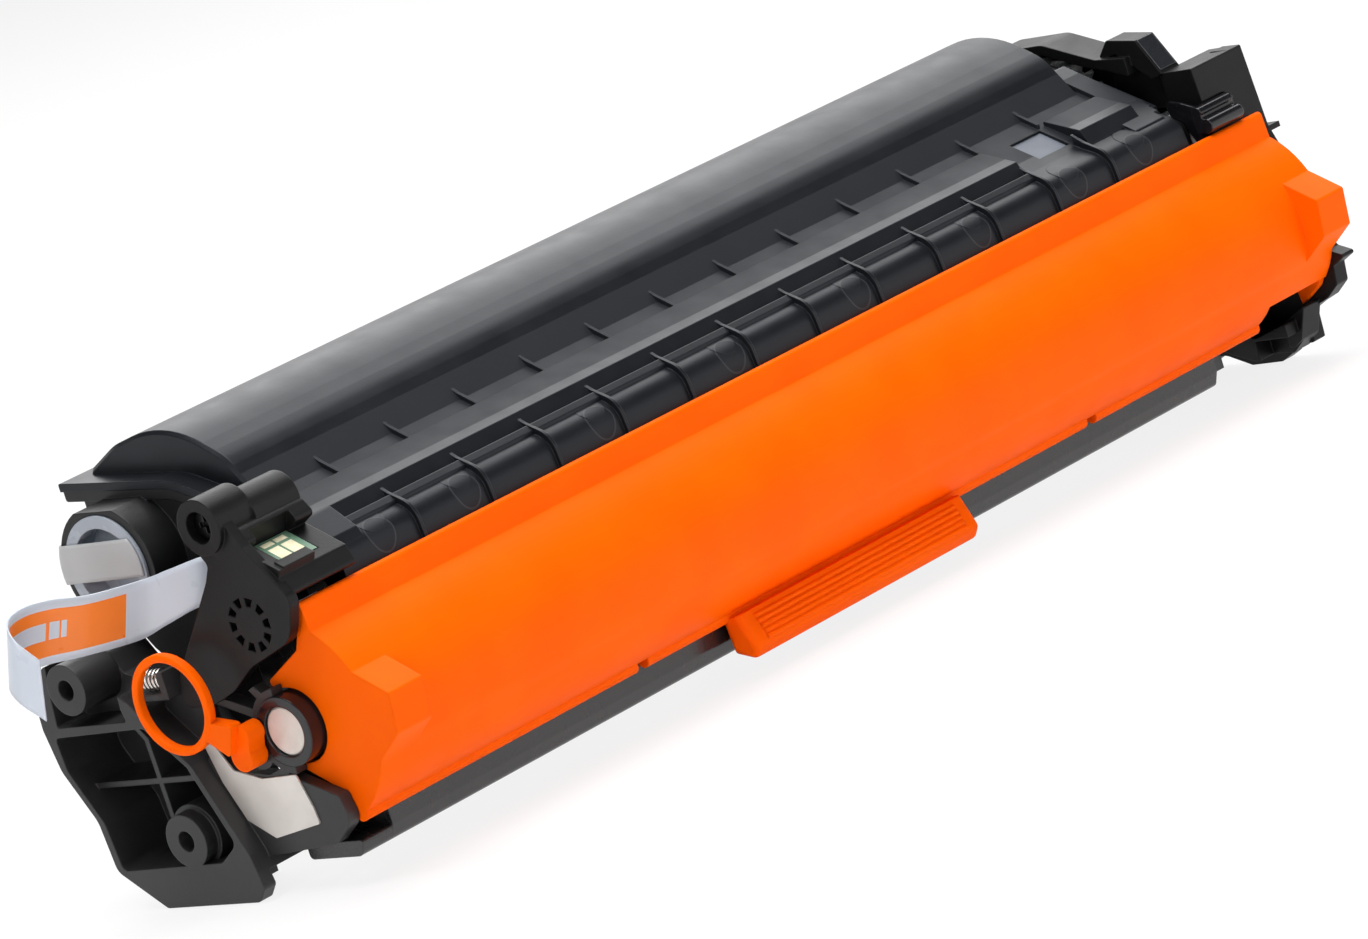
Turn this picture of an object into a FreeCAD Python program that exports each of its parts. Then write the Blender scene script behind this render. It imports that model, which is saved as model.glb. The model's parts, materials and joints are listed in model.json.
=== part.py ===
import FreeCAD, Part
import math
import os

# Toner cartridge, millimetres. The origin is on the developer roller's axis, level with
# the outer face of the bush at the contact end. X runs along the cartridge to the drive
# end, -Y is the front with the protective cover, and +Z is up.

V = FreeCAD.Vector
ALONG = V(1, 0, 0)

# Lengths along X
hopper_start = 20.0
hopper_length = 270.0
cover_start = 3.6
cover_overhang = 19.0
bracket_face = -4.0
frame_lead = 8.0
drive_cap_depth = 20.3
dome_start_gap = 4.0
dome_end_gap = 8.0
dome_edge = 0.7
dome_sink = 3.4
lip_reach = 1.2
lip_depth = 2.2

# Walls and general clearances
wall = 2.0
lid_wall = 1.7
flange_lip = 1.7
cover_wall = 1.7
body_gap = 0.3
running_gap = 0.05

# Roller, shaft, bushes
sleeve_radius = 8.0
sleeve_inset = 2.5
shaft_radius = 5.0
shaft_recess = 0.4
key_depth = 0.8
bush_radius = 7.0
bush_length = 14.0

# Cover
cover_radius = 21.2
cover_bead = 1.5
cover_lip_height = 23.7
cover_lip_front = -10.9
cover_lip_thickness = 2.0
cover_lower_end_cut = 20.5
cover_top_angle = 62.0
cover_bottom_angle = -64.0
cheek_slot_radius = 7.6
tab_width = 9.5
grip_start = 110.0
grip_length = 72.0
grip_ridges = 5
notch_inset = 62.5

# Lid
rib_count = 12
rib_pitch = 20.0
rib_first = 22.0
rib_thickness = 0.8
rib_height = 0.9
tick_height = 1.1
strip_length = 213.5
strip_inset = 8.6
pad_radius = 3.4
pad_height = 0.1
vent_length = 10.5
vent_inset = 28.5
vent_depth = 1.0
vent_thickness = 0.5
far_plate_inset = 2.0
far_plate_length = 6.0
front_inset = 2.6

# Fill port and its cap
port_y = 46.6
port_z = 32.4
port_radius = 12.8
port_length = 9.0
cap_radius = 10.9
cap_inner_radius = 8.4
cap_rim = 2.0
cap_depth = 6.0
label_width = 9.0

# Guide bosses of the contact end
guide_bore_radius = 2.1
guide_boss_radius = 5.4
lower_boss_y = 31.4
lower_boss_z = -18.6
upper_boss_y = 49.8
upper_boss_z = 14.0
upper_boss_radius = 5.2
upper_boss_length = 10.0
foot_level = -32.0
bracket_depth = 18.0
tail_depth = 3.2
pocket_depth = 15.0

# Contact end cap
cap_boss_y = 4.1
cap_boss_z = 41.6
cap_boss_radius = 5.6
cap_boss_length = 8.4
cap_plate = 2.4
slot_count = 10
slot_ring_outer = 5.5
slot_ring_inner = 3.7
slot_ring_z = 21.5
screw_radius = 1.45
screw_head_radius = 3.0
screw_head = 1.8
screw_length = 12.0

# Contact spring, lying along Y between the arm and a peg
spring_x = 0.4
spring_y = 28.0
spring_z = 12.6
spring_radius = 1.9
spring_wire = 0.3
spring_turns = 5
spring_height = 5.2

# Chip
chip_length = 10.4
chip_width = 8.0
chip_board = 0.8
chip_start = 4.6
chip_slope = 29.6
chip_y = -4.4
chip_z = 32.9
pad_length = 2.9

# Gears, module in millimetres
gear_module = 1.0
gear_width = 6.0
gear_start_gap = 4.6
roller_teeth = 18
idler_teeth = 20
drive_teeth = 24
agitator_teeth = 28
gear_backlash = 0.16
gear_pin_radius = 2.0
idler_angle = 70.0
disc_radius = 11.8
bearing_thickness = 3.0
coupling_radius = 6.5
coupling_length = 9.0
guard_length = 11.4

# Agitator
agitator_y = 36.0
agitator_z = 31.0
agitator_radius = 3.0
agitator_journal = 2.5
film_reach = 12.6
film_thickness = 0.5

# Blade
blade_holder_thickness = 1.2
blade_holder_back = 1.2
blade_thickness = 0.6
blade_gap = 0.35
blade_screw_count = 3
felt_width = 5.0

# Worked out from the above
hopper_end = hopper_start + hopper_length
cover_end = hopper_end + cover_overhang
cover_length = cover_end - cover_start
cover_inner = cover_radius - cover_wall
frame_start = hopper_start - frame_lead
sleeve_start = hopper_start + sleeve_inset
sleeve_end = hopper_end - 5.0 - sleeve_inset
blade_start = sleeve_start + felt_width + 2.0
cradle_start = chip_start - 3.2
blade_length = sleeve_end - felt_width - 2.0 - blade_start
bearing_face = hopper_end + bearing_thickness
gear_start = hopper_end + gear_start_gap
gear_end = gear_start + gear_width
far_bush_face = cover_end + cover_start
drive_cap_face = bearing_face + drive_cap_depth
rib_places = [hopper_start + rib_first + rib_pitch * k for k in range(rib_count)]


# Outlines lie in planes square to X, and a corner is y, z and its round-over radius
def outline(x, corners):
    edges = []
    ends = []
    for i, (y, z, radius) in enumerate(corners):
        here = V(x, y, z)
        before = V(x, *corners[i - 1][:2]) - here
        after = V(x, *corners[(i + 1) % len(corners)][:2]) - here
        if radius <= 0:
            ends.append((here, None, here))
            continue
        half = before.getAngle(after) / 2
        reach = radius / math.tan(half)
        before.normalize()
        after.normalize()
        middle = before + after
        middle.normalize()
        peak = here + middle * (radius / math.sin(half) - radius)
        ends.append((here + before * reach, peak, here + after * reach))
    for i, (start, peak, finish) in enumerate(ends):
        if peak is not None:
            edges.append(Part.Arc(start, peak, finish).toShape())
        following = ends[(i + 1) % len(ends)][0]
        if finish.distanceToPoint(following) > 1e-6:
            edges.append(Part.LineSegment(finish, following).toShape())
    return Part.Wire(edges)


def prism(x, length, corners):
    return Part.Face(outline(x, corners)).extrude(V(length, 0, 0))


def sharp(*points):
    return [(y, z, 0) for y, z in points]


def rod(x, length, y, z, radius):
    return Part.makeCylinder(radius, length, V(x, y, z), ALONG)


def tube(x, length, y, z, outer, inner):
    return rod(x, length, y, z, outer).cut(rod(x - 1, length + 2, y, z, inner))


def block(x, length, y0, y1, z0, z1):
    return Part.makeBox(length, y1 - y0, z1 - z0, V(x, y0, z0))


def joined(first, *others):
    result = first.fuse(list(others)) if others else first
    return result.removeSplitter()


def save(node, shape):
    os.makedirs("parts", exist_ok=True)
    shape.exportStep("parts/" + node + ".step")


# Points on the cover's arc, by angle from the front axis, positive upwards
def on_arc(radius, degrees):
    angle = math.radians(180 - degrees)
    return radius * math.cos(angle), radius * math.sin(angle)


# Lid

roof_front = (-7.7, 22.6)
roof_step = (-0.6, 31.4)
valley = (13.5, 39.3)
knee = (31.4, 46.4)
lid_back = (62.6, 48.4)
dome_foot = knee[1] - dome_sink


def roof_outline(x, drop, front_shift):
    front_y = roof_front[0] + front_shift
    return outline(x, [
        (lid_back[0], lid_back[1], 0.4),
        (knee[0], knee[1], 20),
        (valley[0], valley[1], 3),
        (roof_step[0], roof_step[1] + 0.4, 6),
        (-6.9, 29.2, 5.5),
        (roof_front[0], roof_front[1], 0),
        (front_y, roof_front[1], 0),
        (-6.9 + front_shift, 28.3 - drop / 3, 4),
        (roof_step[0] + 0.8, roof_step[1] - drop, 4),
        (valley[0] + 0.6, valley[1] - drop, 3),
        (knee[0] + 0.3, knee[1] - drop, 18),
        (lid_back[0], lid_back[1] - drop, 0)])


# The dome's section, drawn in by an inset for its inner face
def dome_corners(inset, foot):
    return [
        (59.0 - inset, foot, 0),
        (58.6 - inset, 48.9 - 0.2 * inset, 2),
        (50.0 - 0.6 * inset, 53.2 - inset, 14),
        (34.0, 56.8 - 1.15 * inset, 26),
        (20.0 + 0.7 * inset, 48.4 - inset, 12),
        (13.3 + inset, foot - 4.0, 0)]


def dome(start, length):
    solid = prism(start, length, dome_corners(0, dome_foot))
    end_edges = [e for e in solid.Edges if e.BoundBox.XLength < 0.01 and e.BoundBox.ZMax > dome_foot + 0.1]
    return solid.makeChamfer(dome_edge, end_edges)


def hopper_lid():
    dome_from = hopper_start + dome_start_gap
    dome_length = hopper_length - dome_start_gap - dome_end_gap
    roof = Part.Face(roof_outline(hopper_start, lid_wall, wall)).extrude(V(hopper_length, 0, 0))
    below = Part.Face(roof_under(dome_from - 1)).extrude(V(dome_length + 2, 0, 0))
    lid = roof.fuse(dome(dome_from, dome_length).cut(below))
    hollow = prism(dome_from + wall, dome_length - 2 * wall, dome_corners(wall, dome_foot - 6))
    lid = lid.cut(hollow)
    strip_from = hopper_start + strip_inset
    strip_end = hopper_end - dome_end_gap
    far_strip = rib_places[-1] + 2.0
    strips = [prism(strip_from, strip_length, strip_corners()),
              prism(far_strip, strip_end - far_strip, strip_corners())]
    lip_ribs = [rib(x) for x in rib_places]
    ticks = [tick(x) for x in rib_places]
    pads = [ejector_pad(x) for x in pad_places()]
    return_lip = Part.Face(roof_outline(hopper_start - lip_reach, lid_wall, wall)).extrude(
        V(lip_reach + 0.5, 0, 0)).common(block(0, hopper_end, valley[0], 70, 0, 70))
    lid = lid.fuse(strips + lip_ribs + ticks + pads + [return_lip, near_step()] + far_plates())
    vent_from = hopper_end - vent_inset - vent_length
    recess = vent_prism(vent_from, vent_depth + 5, -vent_depth)
    corner = block(hopper_end - front_inset, front_inset + 1, -12, 0.4, 20, 33)
    return lid.cut([recess, corner]).removeSplitter()


def strip_corners():
    return [(9.6, 38.2, 0.3), (0.4, 35.1, 0.4), (-1.4, 31.6, 0), (1.0, 31.0, 0), (9.8, 35.8, 0)]


# Flat raised ground between the chip's cradle and the strip
def near_step():
    return prism(hopper_start, strip_inset, [
        (15.6, 40.2, 0), (0.4, 35.1, 3), (-5.2, 30.6, 1), (-6.4, 28.2, 0), (0.6, 30.6, 0), (15.6, 38.6, 0)])


# The raised ground round the dome's far end and its stepped front corner
def far_plates():
    start = hopper_end - far_plate_inset - far_plate_length
    upper = prism(start, far_plate_length, [
        (21.6, 45.0, 1), (-1.9, 31.9, 2), (-3.4, 29.2, 0), (0.6, 30.6, 0), (13.6, 38.2, 0), (22.4, 41.8, 0)])
    lower = prism(start - far_plate_length, far_plate_length + 4.0, [
        (4.4, 35.4, 0), (-1.9, 31.9, 0.6), (-4.2, 30.6, 1), (-5.2, 28.4, 0), (0.6, 30.6, 0), (4.4, 33.0, 0)])
    return [upper, lower]


def pad_places():
    places = [rib_places[k] - rib_pitch / 4 for k in (1, 3, 5, 7, 9)]
    return places + [rib_places[0] - rib_pitch / 2 + 0.6, rib_places[-2] + 0.4 * rib_pitch,
                     rib_places[-1] + 0.55 * rib_pitch]


# Room below the roof, so the dome's walls stop at the roof's upper face
def roof_under(x):
    return outline(x, sharp(
        (lid_back[0] + 2, lid_back[1] - lid_wall + 0.2), (knee[0], knee[1] - lid_wall + 0.2),
        (valley[0], valley[1] - lid_wall + 0.2), (valley[0], 20), (lid_back[0] + 2, 20)))


def rib(x):
    outer = -6.9 - rib_height
    return prism(x - rib_thickness / 2, rib_thickness, [
        (1.2, 34.9, 0), (-1.6, 32.9, 3), (outer, 29.8, 5.5), (roof_front[0] - rib_height, 22.6, 0),
        (-6.4, 22.6, 0), (-5.6, 27.6, 0), (0.6, 30.6, 0)])


def tick(x):
    return prism(x - rib_thickness / 2, rib_thickness, sharp(
        (16.4, 42.6), (14.0, valley[1] + 0.35 + tick_height), (9.4, 38.1), (9.4, 35.8), (16.4, 39.2)))


# A round mark that stands a hair above the roof's front roll
def ejector_pad(x):
    direction = V(0, -0.62, 0.785)
    round_rod = Part.makeCylinder(pad_radius, 6, V(x, -4.1, 29.9) - direction * 3, direction)
    raised = Part.Face(roof_outline(x - 2 * pad_radius, lid_wall, wall)).extrude(V(4 * pad_radius, 0, 0))
    raised.translate(direction * pad_height)
    return raised.common(round_rod)


def vent_prism(x, thickness, lift):
    slope = math.atan2(valley[1] - roof_step[1], valley[0] - roof_step[0])
    box = Part.makeBox(vent_length, 8.0, thickness, V(x, -4.0, lift))
    box.rotate(V(x, 0, 0), ALONG, math.degrees(slope))
    middle = ((valley[0] + roof_step[0]) / 2 - 1, (valley[1] + roof_step[1]) / 2 - 0.5)
    box.translate(V(0, middle[0], middle[1]))
    return box


def vent_filter():
    return vent_prism(hopper_end - vent_inset - vent_length, vent_thickness, -vent_depth)


# Toner tank below the lid

tub_front = 15.0
tub_floor = 9.5
tub_back = 58.0


def tub_corners(shrink, top):
    return [
        (tub_back - shrink, top, 0),
        (tub_back - shrink, 23.0, 0),
        (tub_back - 9 - shrink / 2, tub_floor + shrink, 11 - shrink),
        (tub_front + shrink, tub_floor + shrink, 1),
        (tub_front + shrink, valley[1] - lid_wall - 0.4, 0),
        (knee[0], top, 0)]


def hopper_tub():
    top = lid_back[1] - lid_wall - 3.4
    outer = prism(hopper_start, hopper_length, tub_corners(0, top))
    inner = prism(hopper_start + wall, hopper_length - 2 * wall, tub_corners(wall, top + 8))
    lip = prism(hopper_start, hopper_length, sharp(
        (lid_back[0] - 0.4, lid_back[1] - lid_wall),
        (lid_back[0] - 0.4, lid_back[1] - lid_wall - flange_lip),
        (tub_back - wall, lid_back[1] - lid_wall - flange_lip - 0.4),
        (tub_back - wall, lid_back[1] - lid_wall)))
    upper = prism(hopper_start, wall, sharp(
        (tub_back, 40), (tub_back, 47.5), (knee[0], 45.5), (tub_front, 38.5), (tub_front, 30)))
    upper_far = upper.copy()
    upper_far.translate(V(hopper_length - wall, 0, 0))
    front_up = prism(hopper_start, hopper_length, sharp(
        (tub_front, 30), (tub_front, 38.8), (tub_front + wall, 40), (tub_front + wall, 30)))
    lip_z = lid_wall + lip_depth
    near_lip = prism(hopper_start - lip_reach + 0.4, lip_reach + wall, [
        (lid_back[0] - 0.4, 60, 0), (lid_back[0] - 0.4, lid_back[1] - lip_z, 0.6),
        (knee[0] + 0.6, knee[1] - lip_z, 16), (valley[0] + 1.2, valley[1] - lip_z, 0), (valley[0], 60, 0)])
    tub = outer.cut(inner).fuse([lip, upper, upper_far, front_up, near_lip])
    tub = tub.cut(Part.Face(roof_slice()).extrude(V(hopper_length + 4, 0, 0)))
    feed = block(hopper_start + 10, hopper_length - 20, tub_front - 1, tub_front + wall + 1, 19, 29)
    port = rod(hopper_start - port_length, port_length + wall, port_y, port_z, port_radius)
    keep = prism(hopper_start - port_length, port_length + wall, sharp(
        (30, 16), (30, 43.6), (tub_back + 1.6, 44.3), (tub_back + 1.6, 16)))
    tub = tub.cut(feed).fuse(port.common(keep))
    bore = rod(hopper_start - port_length - 1, port_length + wall + 2, port_y, port_z,
               cap_radius - cap_rim + 0.6)
    seat = rod(hopper_start - port_length - 1, 1 + cap_rim, port_y, port_z, cap_radius + running_gap)
    axle_far = rod(hopper_end - wall - 1, wall + 2, agitator_y, agitator_z,
                   agitator_journal + running_gap)
    axle_boss = rod(hopper_start + wall - 0.5, 3.0, agitator_y, agitator_z,
                    agitator_journal + 1.6)
    pocket = rod(hopper_start + wall - 0.4, 4.0, agitator_y, agitator_z,
                 agitator_journal + running_gap)
    tub = tub.cut(bore).cut(seat).fuse(axle_boss)
    return tub.cut(pocket).cut(axle_far).removeSplitter()


# Everything from the roof's underside up, so the tank and the lid meet face to face
def roof_slice():
    return outline(hopper_start - 2, [
        (lid_back[0] + 3, 70, 0),
        (roof_step[0] - 8, 70, 0),
        (roof_step[0] + 0.8, roof_step[1] - lid_wall, 0),
        (valley[0] + 0.6, valley[1] - lid_wall, 3),
        (knee[0] + 0.3, knee[1] - lid_wall, 18),
        (lid_back[0], lid_back[1] - lid_wall, 0),
        (lid_back[0] + 3, lid_back[1] - lid_wall, 0)])


# Plug of the fill port: rim, wall and a recessed floor
def fill_port_cap():
    face = hopper_start - port_length
    rim = rod(face - 0.6, 0.6 + cap_rim, port_y, port_z, cap_radius)
    stem = rod(face, cap_depth, port_y, port_z, cap_radius - cap_rim + 0.55)
    hollow = rod(face - 1, 1 + cap_depth - 1.4, port_y, port_z, cap_inner_radius)
    return joined(rim, stem).cut(hollow)


# The bare band lies flat across the rim
def cap_label():
    face = hopper_start - port_length - 0.6
    band = block(face - 0.3, 0.3, port_y - cap_radius - 2, port_y + cap_radius + 2,
                 port_z - label_width / 2, port_z + label_width / 2)
    return band.common(rod(face - 1, 3, port_y, port_z, cap_radius - 0.1))


# Front chamber

ledge = -17.0
frame_back = tub_front
frame_floor = -26.8
trough_top = 21.0
chin_lead = 8.4
chin_end = 15.0
rail_front = -7.6
rail_low = 13.5


def developer_frame():
    start = frame_start
    length = hopper_end - frame_start
    trough = prism(start, length, [
        (frame_back, trough_top, 0), (frame_back, -14.0, 9), (9.0, frame_floor, 3),
        (-6.4, frame_floor, 1.5), (-7.8, -23.6, 1), (-7.8, ledge, 0.5), (4.0, ledge, 5),
        (10.6, -9.0, 4), (10.6, trough_top, 0)])
    feed = block(hopper_start + 10, hopper_length - 20, frame_back - 6, frame_back + 1, 19, 29)
    end_plate = sharp(
        (frame_back, trough_top), (frame_back, -8), (8, ledge - 1), (rail_front, ledge - 1),
        (-10.0, -12),
        (-10.5, 8), (rail_front, rail_low), (rail_front, roof_front[1]), (-5.4, roof_front[1]),
        (-3.6, 26.0), (-0.2, 28.6), (9.0, 34.0), (frame_back, 34))
    near_wall = prism(start, 5.0, end_plate)
    far_wall = prism(hopper_end - 5.0, 5.0, end_plate)
    back_wall = block(start, length, 11.5, frame_back, trough_top - 2, 33.6)
    pockets = []
    pitch = (hopper_length - 20) / 6
    for k in range(6):
        x = hopper_start + 10 + pitch * k
        pockets.append(prism(x + 1.5, pitch - 3.0, [
            (11.5, frame_floor - 1, 0), (11.5, -16.5, 4), (7.5, -19.5, 2), (-4.5, -19.5, 2),
            (-4.5, frame_floor - 1, 0)]))
    rail = prism(start, length, [
        (rail_front, rail_low, 0.6), (rail_front, roof_front[1], 0), (rail_front + 2.0, roof_front[1], 0),
        (rail_front + 2.0, rail_low, 0.6)])
    chin = prism(start - chin_lead, chin_lead + 1, [
        (8.0, -24.6, 0), (8.0, frame_floor, 1), (-6.4, frame_floor, 1.5), (-7.6, -24.0, 0.8),
        (-6.8, -23.6, 0), (4.0, -23.6, 0)])
    frame = trough.fuse([near_wall, far_wall, back_wall, rail, chin]).cut(feed).cut(pockets)
    near_seat = rod(start - 1, 8, 0, 0, bush_radius + 0.02)
    far_seat = rod(hopper_end - 8, 20, 0, 0, bush_radius + 0.02)
    far_room = block(hopper_end - chin_end, chin_end + 1, -12, 3, frame_floor - 1, ledge - 1)
    return frame.cut([near_seat, far_seat, far_room]).removeSplitter()


def roller_sleeve():
    return tube(sleeve_start, sleeve_end - sleeve_start, 0, 0, sleeve_radius, shaft_radius)


def roller_shaft():
    start = shaft_recess
    length = far_bush_face - shaft_recess - start
    shaft = rod(start, length, 0, 0, shaft_radius)
    chamfered = shaft.makeChamfer(0.4, [shaft.Edges[0], shaft.Edges[2]])
    flat = block(gear_start, gear_width, -shaft_radius, shaft_radius, shaft_radius - key_depth,
                 shaft_radius + 1)
    return chamfered.cut(flat)


def bush(start, length):
    return tube(start, length, 0, 0, bush_radius, shaft_radius + running_gap)


# Cover: a half-round shell with a bead on each long edge, cheeks, tabs and a grip
def cover_profile(outer, inner, top, bottom):
    low = on_arc(outer, bottom)
    low_in = on_arc(inner, bottom)
    high = on_arc(outer, top)
    high_in = on_arc(inner, top)
    mid = (bottom + top) / 2
    return low, on_arc(outer, mid), high, high_in, on_arc(inner, mid), low_in


def arc_band(x, length, outer, inner, bottom, top):
    low, far, high, high_in, near, low_in = cover_profile(outer, inner, top, bottom)
    points = [V(x, *p) for p in (low, far, high, high_in, near, low_in)]
    wire = Part.Wire([
        Part.Arc(points[0], points[1], points[2]).toShape(),
        Part.LineSegment(points[2], points[3]).toShape(),
        Part.Arc(points[3], points[4], points[5]).toShape(),
        Part.LineSegment(points[5], points[0]).toShape()])
    return Part.Face(wire).extrude(V(length, 0, 0))


def cheek(x):
    return prism(x, cover_wall, [
        (-8.9, 20.0, 0), (-6.2, 14.6, 1.5), (4.3, 8.9, 0.8), (2.6, cheek_slot_radius, 0.5),
        (0, cheek_slot_radius, 0), (0, -cheek_slot_radius, 0), (3.0, -cheek_slot_radius - 0.2, 0.5),
        (-7.7, -14.0, 1.5), (-8.6, -19.5, 0), (-14, -16, 0), (-19.6, -8, 0), (-21.0, 0, 0),
        (-19.6, 8, 0), (-14, 16, 0)])


def tab(x):
    return prism(x, tab_width, [
        (-17.6, 10.2, 0), (-27.0, 4.6, 0.6), (-26.2, -3.4, 0.6), (-18.6, -9.0, 0)])


def grip():
    shape = prism(grip_start, grip_length, [
        (-8.6, -19.2, 0), (-13.6, -18.6, 0), (-16.4, -25.4, 1.4), (-14.6, -28.0, 1.2),
        (-9.4, -26.6, 0.8)])
    rounded = shape.makeFillet(1.6, [e for e in shape.Edges if upright(e)])
    ridges = []
    for k in range(grip_ridges):
        share = (k + 0.6) / grip_ridges
        y = -13.9 - 2.2 * share
        z = -19.4 - 5.6 * share
        ridges.append(Part.makeCylinder(0.5, grip_length - 8, V(grip_start + 4, y, z), ALONG))
    return rounded.fuse(ridges)


# The grip's two lower outer corners, square to X
def upright(edge):
    middle = edge.BoundBox.Center
    flat = edge.BoundBox.XLength < 0.01
    return flat and edge.Length > 2.2 and middle.y < -13.5 and middle.z < -18


def protective_cover():
    shell = arc_band(cover_start, cover_length, cover_radius, cover_inner,
                     cover_bottom_angle, cover_top_angle)
    end_cut = block(cover_end - cover_lower_end_cut, cover_lower_end_cut + 1, -16, 4, -24, -14.4)
    shell = shell.cut(end_cut)
    lip_back = cover_lip_front + cover_lip_thickness
    lip = prism(cover_start, cover_length, [
        (cover_lip_front - 0.5, 17.6, 0), (cover_lip_front, cover_lip_height, cover_lip_thickness * 0.45),
        (lip_back, cover_lip_height, cover_lip_thickness * 0.45), (lip_back, 16.4, 0)])
    low = on_arc((cover_radius + cover_inner) / 2 + 0.5, cover_bottom_angle + 1.5)
    low_bead = rod(cover_start, cover_length - cover_lower_end_cut, low[0], low[1], cover_bead)
    disc = rod(cover_start, cover_wall, 0, 0, cover_radius)
    near_cheek = cheek(cover_start).common(disc)
    far_disc = rod(cover_end - cover_wall, cover_wall, 0, 0, cover_radius)
    far_cheek = cheek(cover_end - cover_wall).common(far_disc)
    slots = [rod(cover_start - 1, cover_wall + 2, 0, 0, cheek_slot_radius),
             rod(cover_end - cover_wall - 1, cover_wall + 2, 0, 0, cheek_slot_radius)]
    near_cheek = near_cheek.cut(slots[0])
    far_cheek = far_cheek.cut(slots[1])
    tabs = [tab(cover_start), tab(cover_end - tab_width)]
    hollow = rod(cover_start + cover_wall, cover_length - 2 * cover_wall, 0, 0, cover_inner)
    tabs = [shape.cut(hollow) for shape in tabs]
    cover = shell.fuse([lip, low_bead, near_cheek, far_cheek, grip()] + tabs)
    notches = []
    for x in (hopper_start + notch_inset, hopper_end - notch_inset):
        notches.append(Part.makeBox(3, 6, 3, V(x, low[0] - 3, low[1] - 2.6)))
    return cover.cut(notches).removeSplitter()


# Contact end: plate, screw boss, ring of slots and chip cradle
def contact_end_cap():
    plate = prism(0, cap_plate, [
        (cap_boss_y + 2.0, cap_boss_z + 2.4, 0), (cap_boss_y - 4.1, cap_boss_z + 2.4, 0), (-4.6, 36.4, 0),
        (-13.0, 25.4, 3), (-9.4, 17.6, 6), (3.4, 13.2, 5), (9.9, 8.9, 3), (16.4, 6.6, 5),
        (25.9, 6.2, 2.4), (24.0, 12.6, 2), (8.2, 30.6, 2.5), (6.2, 33.8, 1.5), (8.4, 37.4, 0)])
    boss = rod(-1.2, cap_boss_length + 1.2, cap_boss_y, cap_boss_z, cap_boss_radius)
    second = rod(cap_boss_length - 0.5, hopper_start - cap_boss_length + 0.5, cap_boss_y - 1.0,
                 cap_boss_z - 1.2, cap_boss_radius - 0.4)
    ear = prism(cap_plate - 1, hopper_start - cap_plate + 1, [
        (cap_boss_y + 4.2, cap_boss_z - 2.4, 1), (-2.0, cap_boss_z - 1.6, 2), (-4.6, 36.5, 1),
        (0.5, 33.8, 0), (cap_boss_y + 3.4, 35.0, 1)])
    skirt = prism(cap_plate - 1, 9.0, [
        (8.6, 30.0, 1), (19.5, 17.3, 1), (18.0, 16.2, 0), (7.2, 28.6, 0)])
    cradle = prism(cradle_start, hopper_start - cradle_start, [
        (3.2, 37.2, 0.6), (-10.2, 29.6, 0.8), (-11.6, 25.8, 0.8), (-9.6, 25.2, 0), (1.0, 31.6, 0)])
    tie = prism(cap_plate - 1, cradle_start + 2 - cap_plate, sharp(
        (2.0, 36.6), (-9.2, 30.2), (-10.6, 26.4), (-4.0, 27.0), (4.0, 32.0)))
    half = chip_width / 2 + 0.3
    clips = [on_slope(chip_start + 2.7, 8.2, half, half + 2.6, -1.0, 1.7),
             on_slope(chip_start - 2.0, 8.6, -half - 2.4, -half, -1.0, 1.9),
             on_slope(cradle_start, 2.9, -half - 2.4, half, -1.0, 1.5)]
    room = chip_prism(6.0, 0.25, 0)
    cap = joined(plate, boss, second, ear, skirt, cradle, tie, *clips).cut(room)
    windows = []
    for k in range(slot_count):
        windows.append(slot(2 * math.pi * k / slot_count))
    cap = cap.cut(windows)
    bore = rod(-2, hopper_start + 4, cap_boss_y, cap_boss_z, screw_radius + 0.02)
    head = rod(-2, 2 - 1.2 + 4.0, cap_boss_y, cap_boss_z, screw_head_radius + 0.2)
    return cap.cut(bore).cut(head).removeSplitter()


def slot(angle):
    spread = math.radians(11)
    points = []
    for radius, turn in ((slot_ring_inner, -0.8), (slot_ring_outer, -1), (slot_ring_outer, 1),
                         (slot_ring_inner, 0.8)):
        turned = angle + spread * turn
        points.append((radius * math.cos(turned), slot_ring_z + radius * math.sin(turned)))
    return prism(-1, cap_plate + 2, sharp(*points))


# A box on the cradle's slope, measured up the slope and out from it
def on_slope(x, length, low, high, base, top):
    box = Part.makeBox(length, high - low, top - base, V(x, low, base))
    box.rotate(V(0, 0, 0), ALONG, chip_slope)
    box.translate(V(0, chip_y, chip_z))
    return box


# The chip lies in the sloped cradle, its face level with the slope
def chip_prism(thickness, grow, lift):
    half = chip_width / 2 + grow
    base = lift - chip_board + 0.02
    return on_slope(chip_start - grow, chip_length + 2 * grow, -half, half, base, base + thickness)


def chip_pads():
    pads = []
    for column in (0, 1):
        start = chip_start + 2.3 + column * (pad_length + 0.6)
        for low, high in ((-3.1, 1.2), (2.0, 3.3)):
            pads.append(on_slope(start, pad_length, low, high, 0.02, 0.1))
    return Part.makeCompound(pads)


def screw(x, y, z, length):
    head = rod(x, screw_head, y, z, screw_head_radius)
    shank = rod(x + screw_head, length, y, z, screw_radius)
    arm = 3.6
    cross = [Part.makeBox(0.9, arm, 0.9, V(x - 0.1, y - arm / 2, z - 0.45)),
             Part.makeBox(0.9, 0.9, arm, V(x - 0.1, y - 0.45, z - arm / 2))]
    return joined(head, shank).cut(cross)


# Web beside the near bush, behind the contact sheet
web_start = 0.4
web_depth = cover_start - body_gap - web_start
arm_start = cap_plate + body_gap
arm_depth = 3.4


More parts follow.
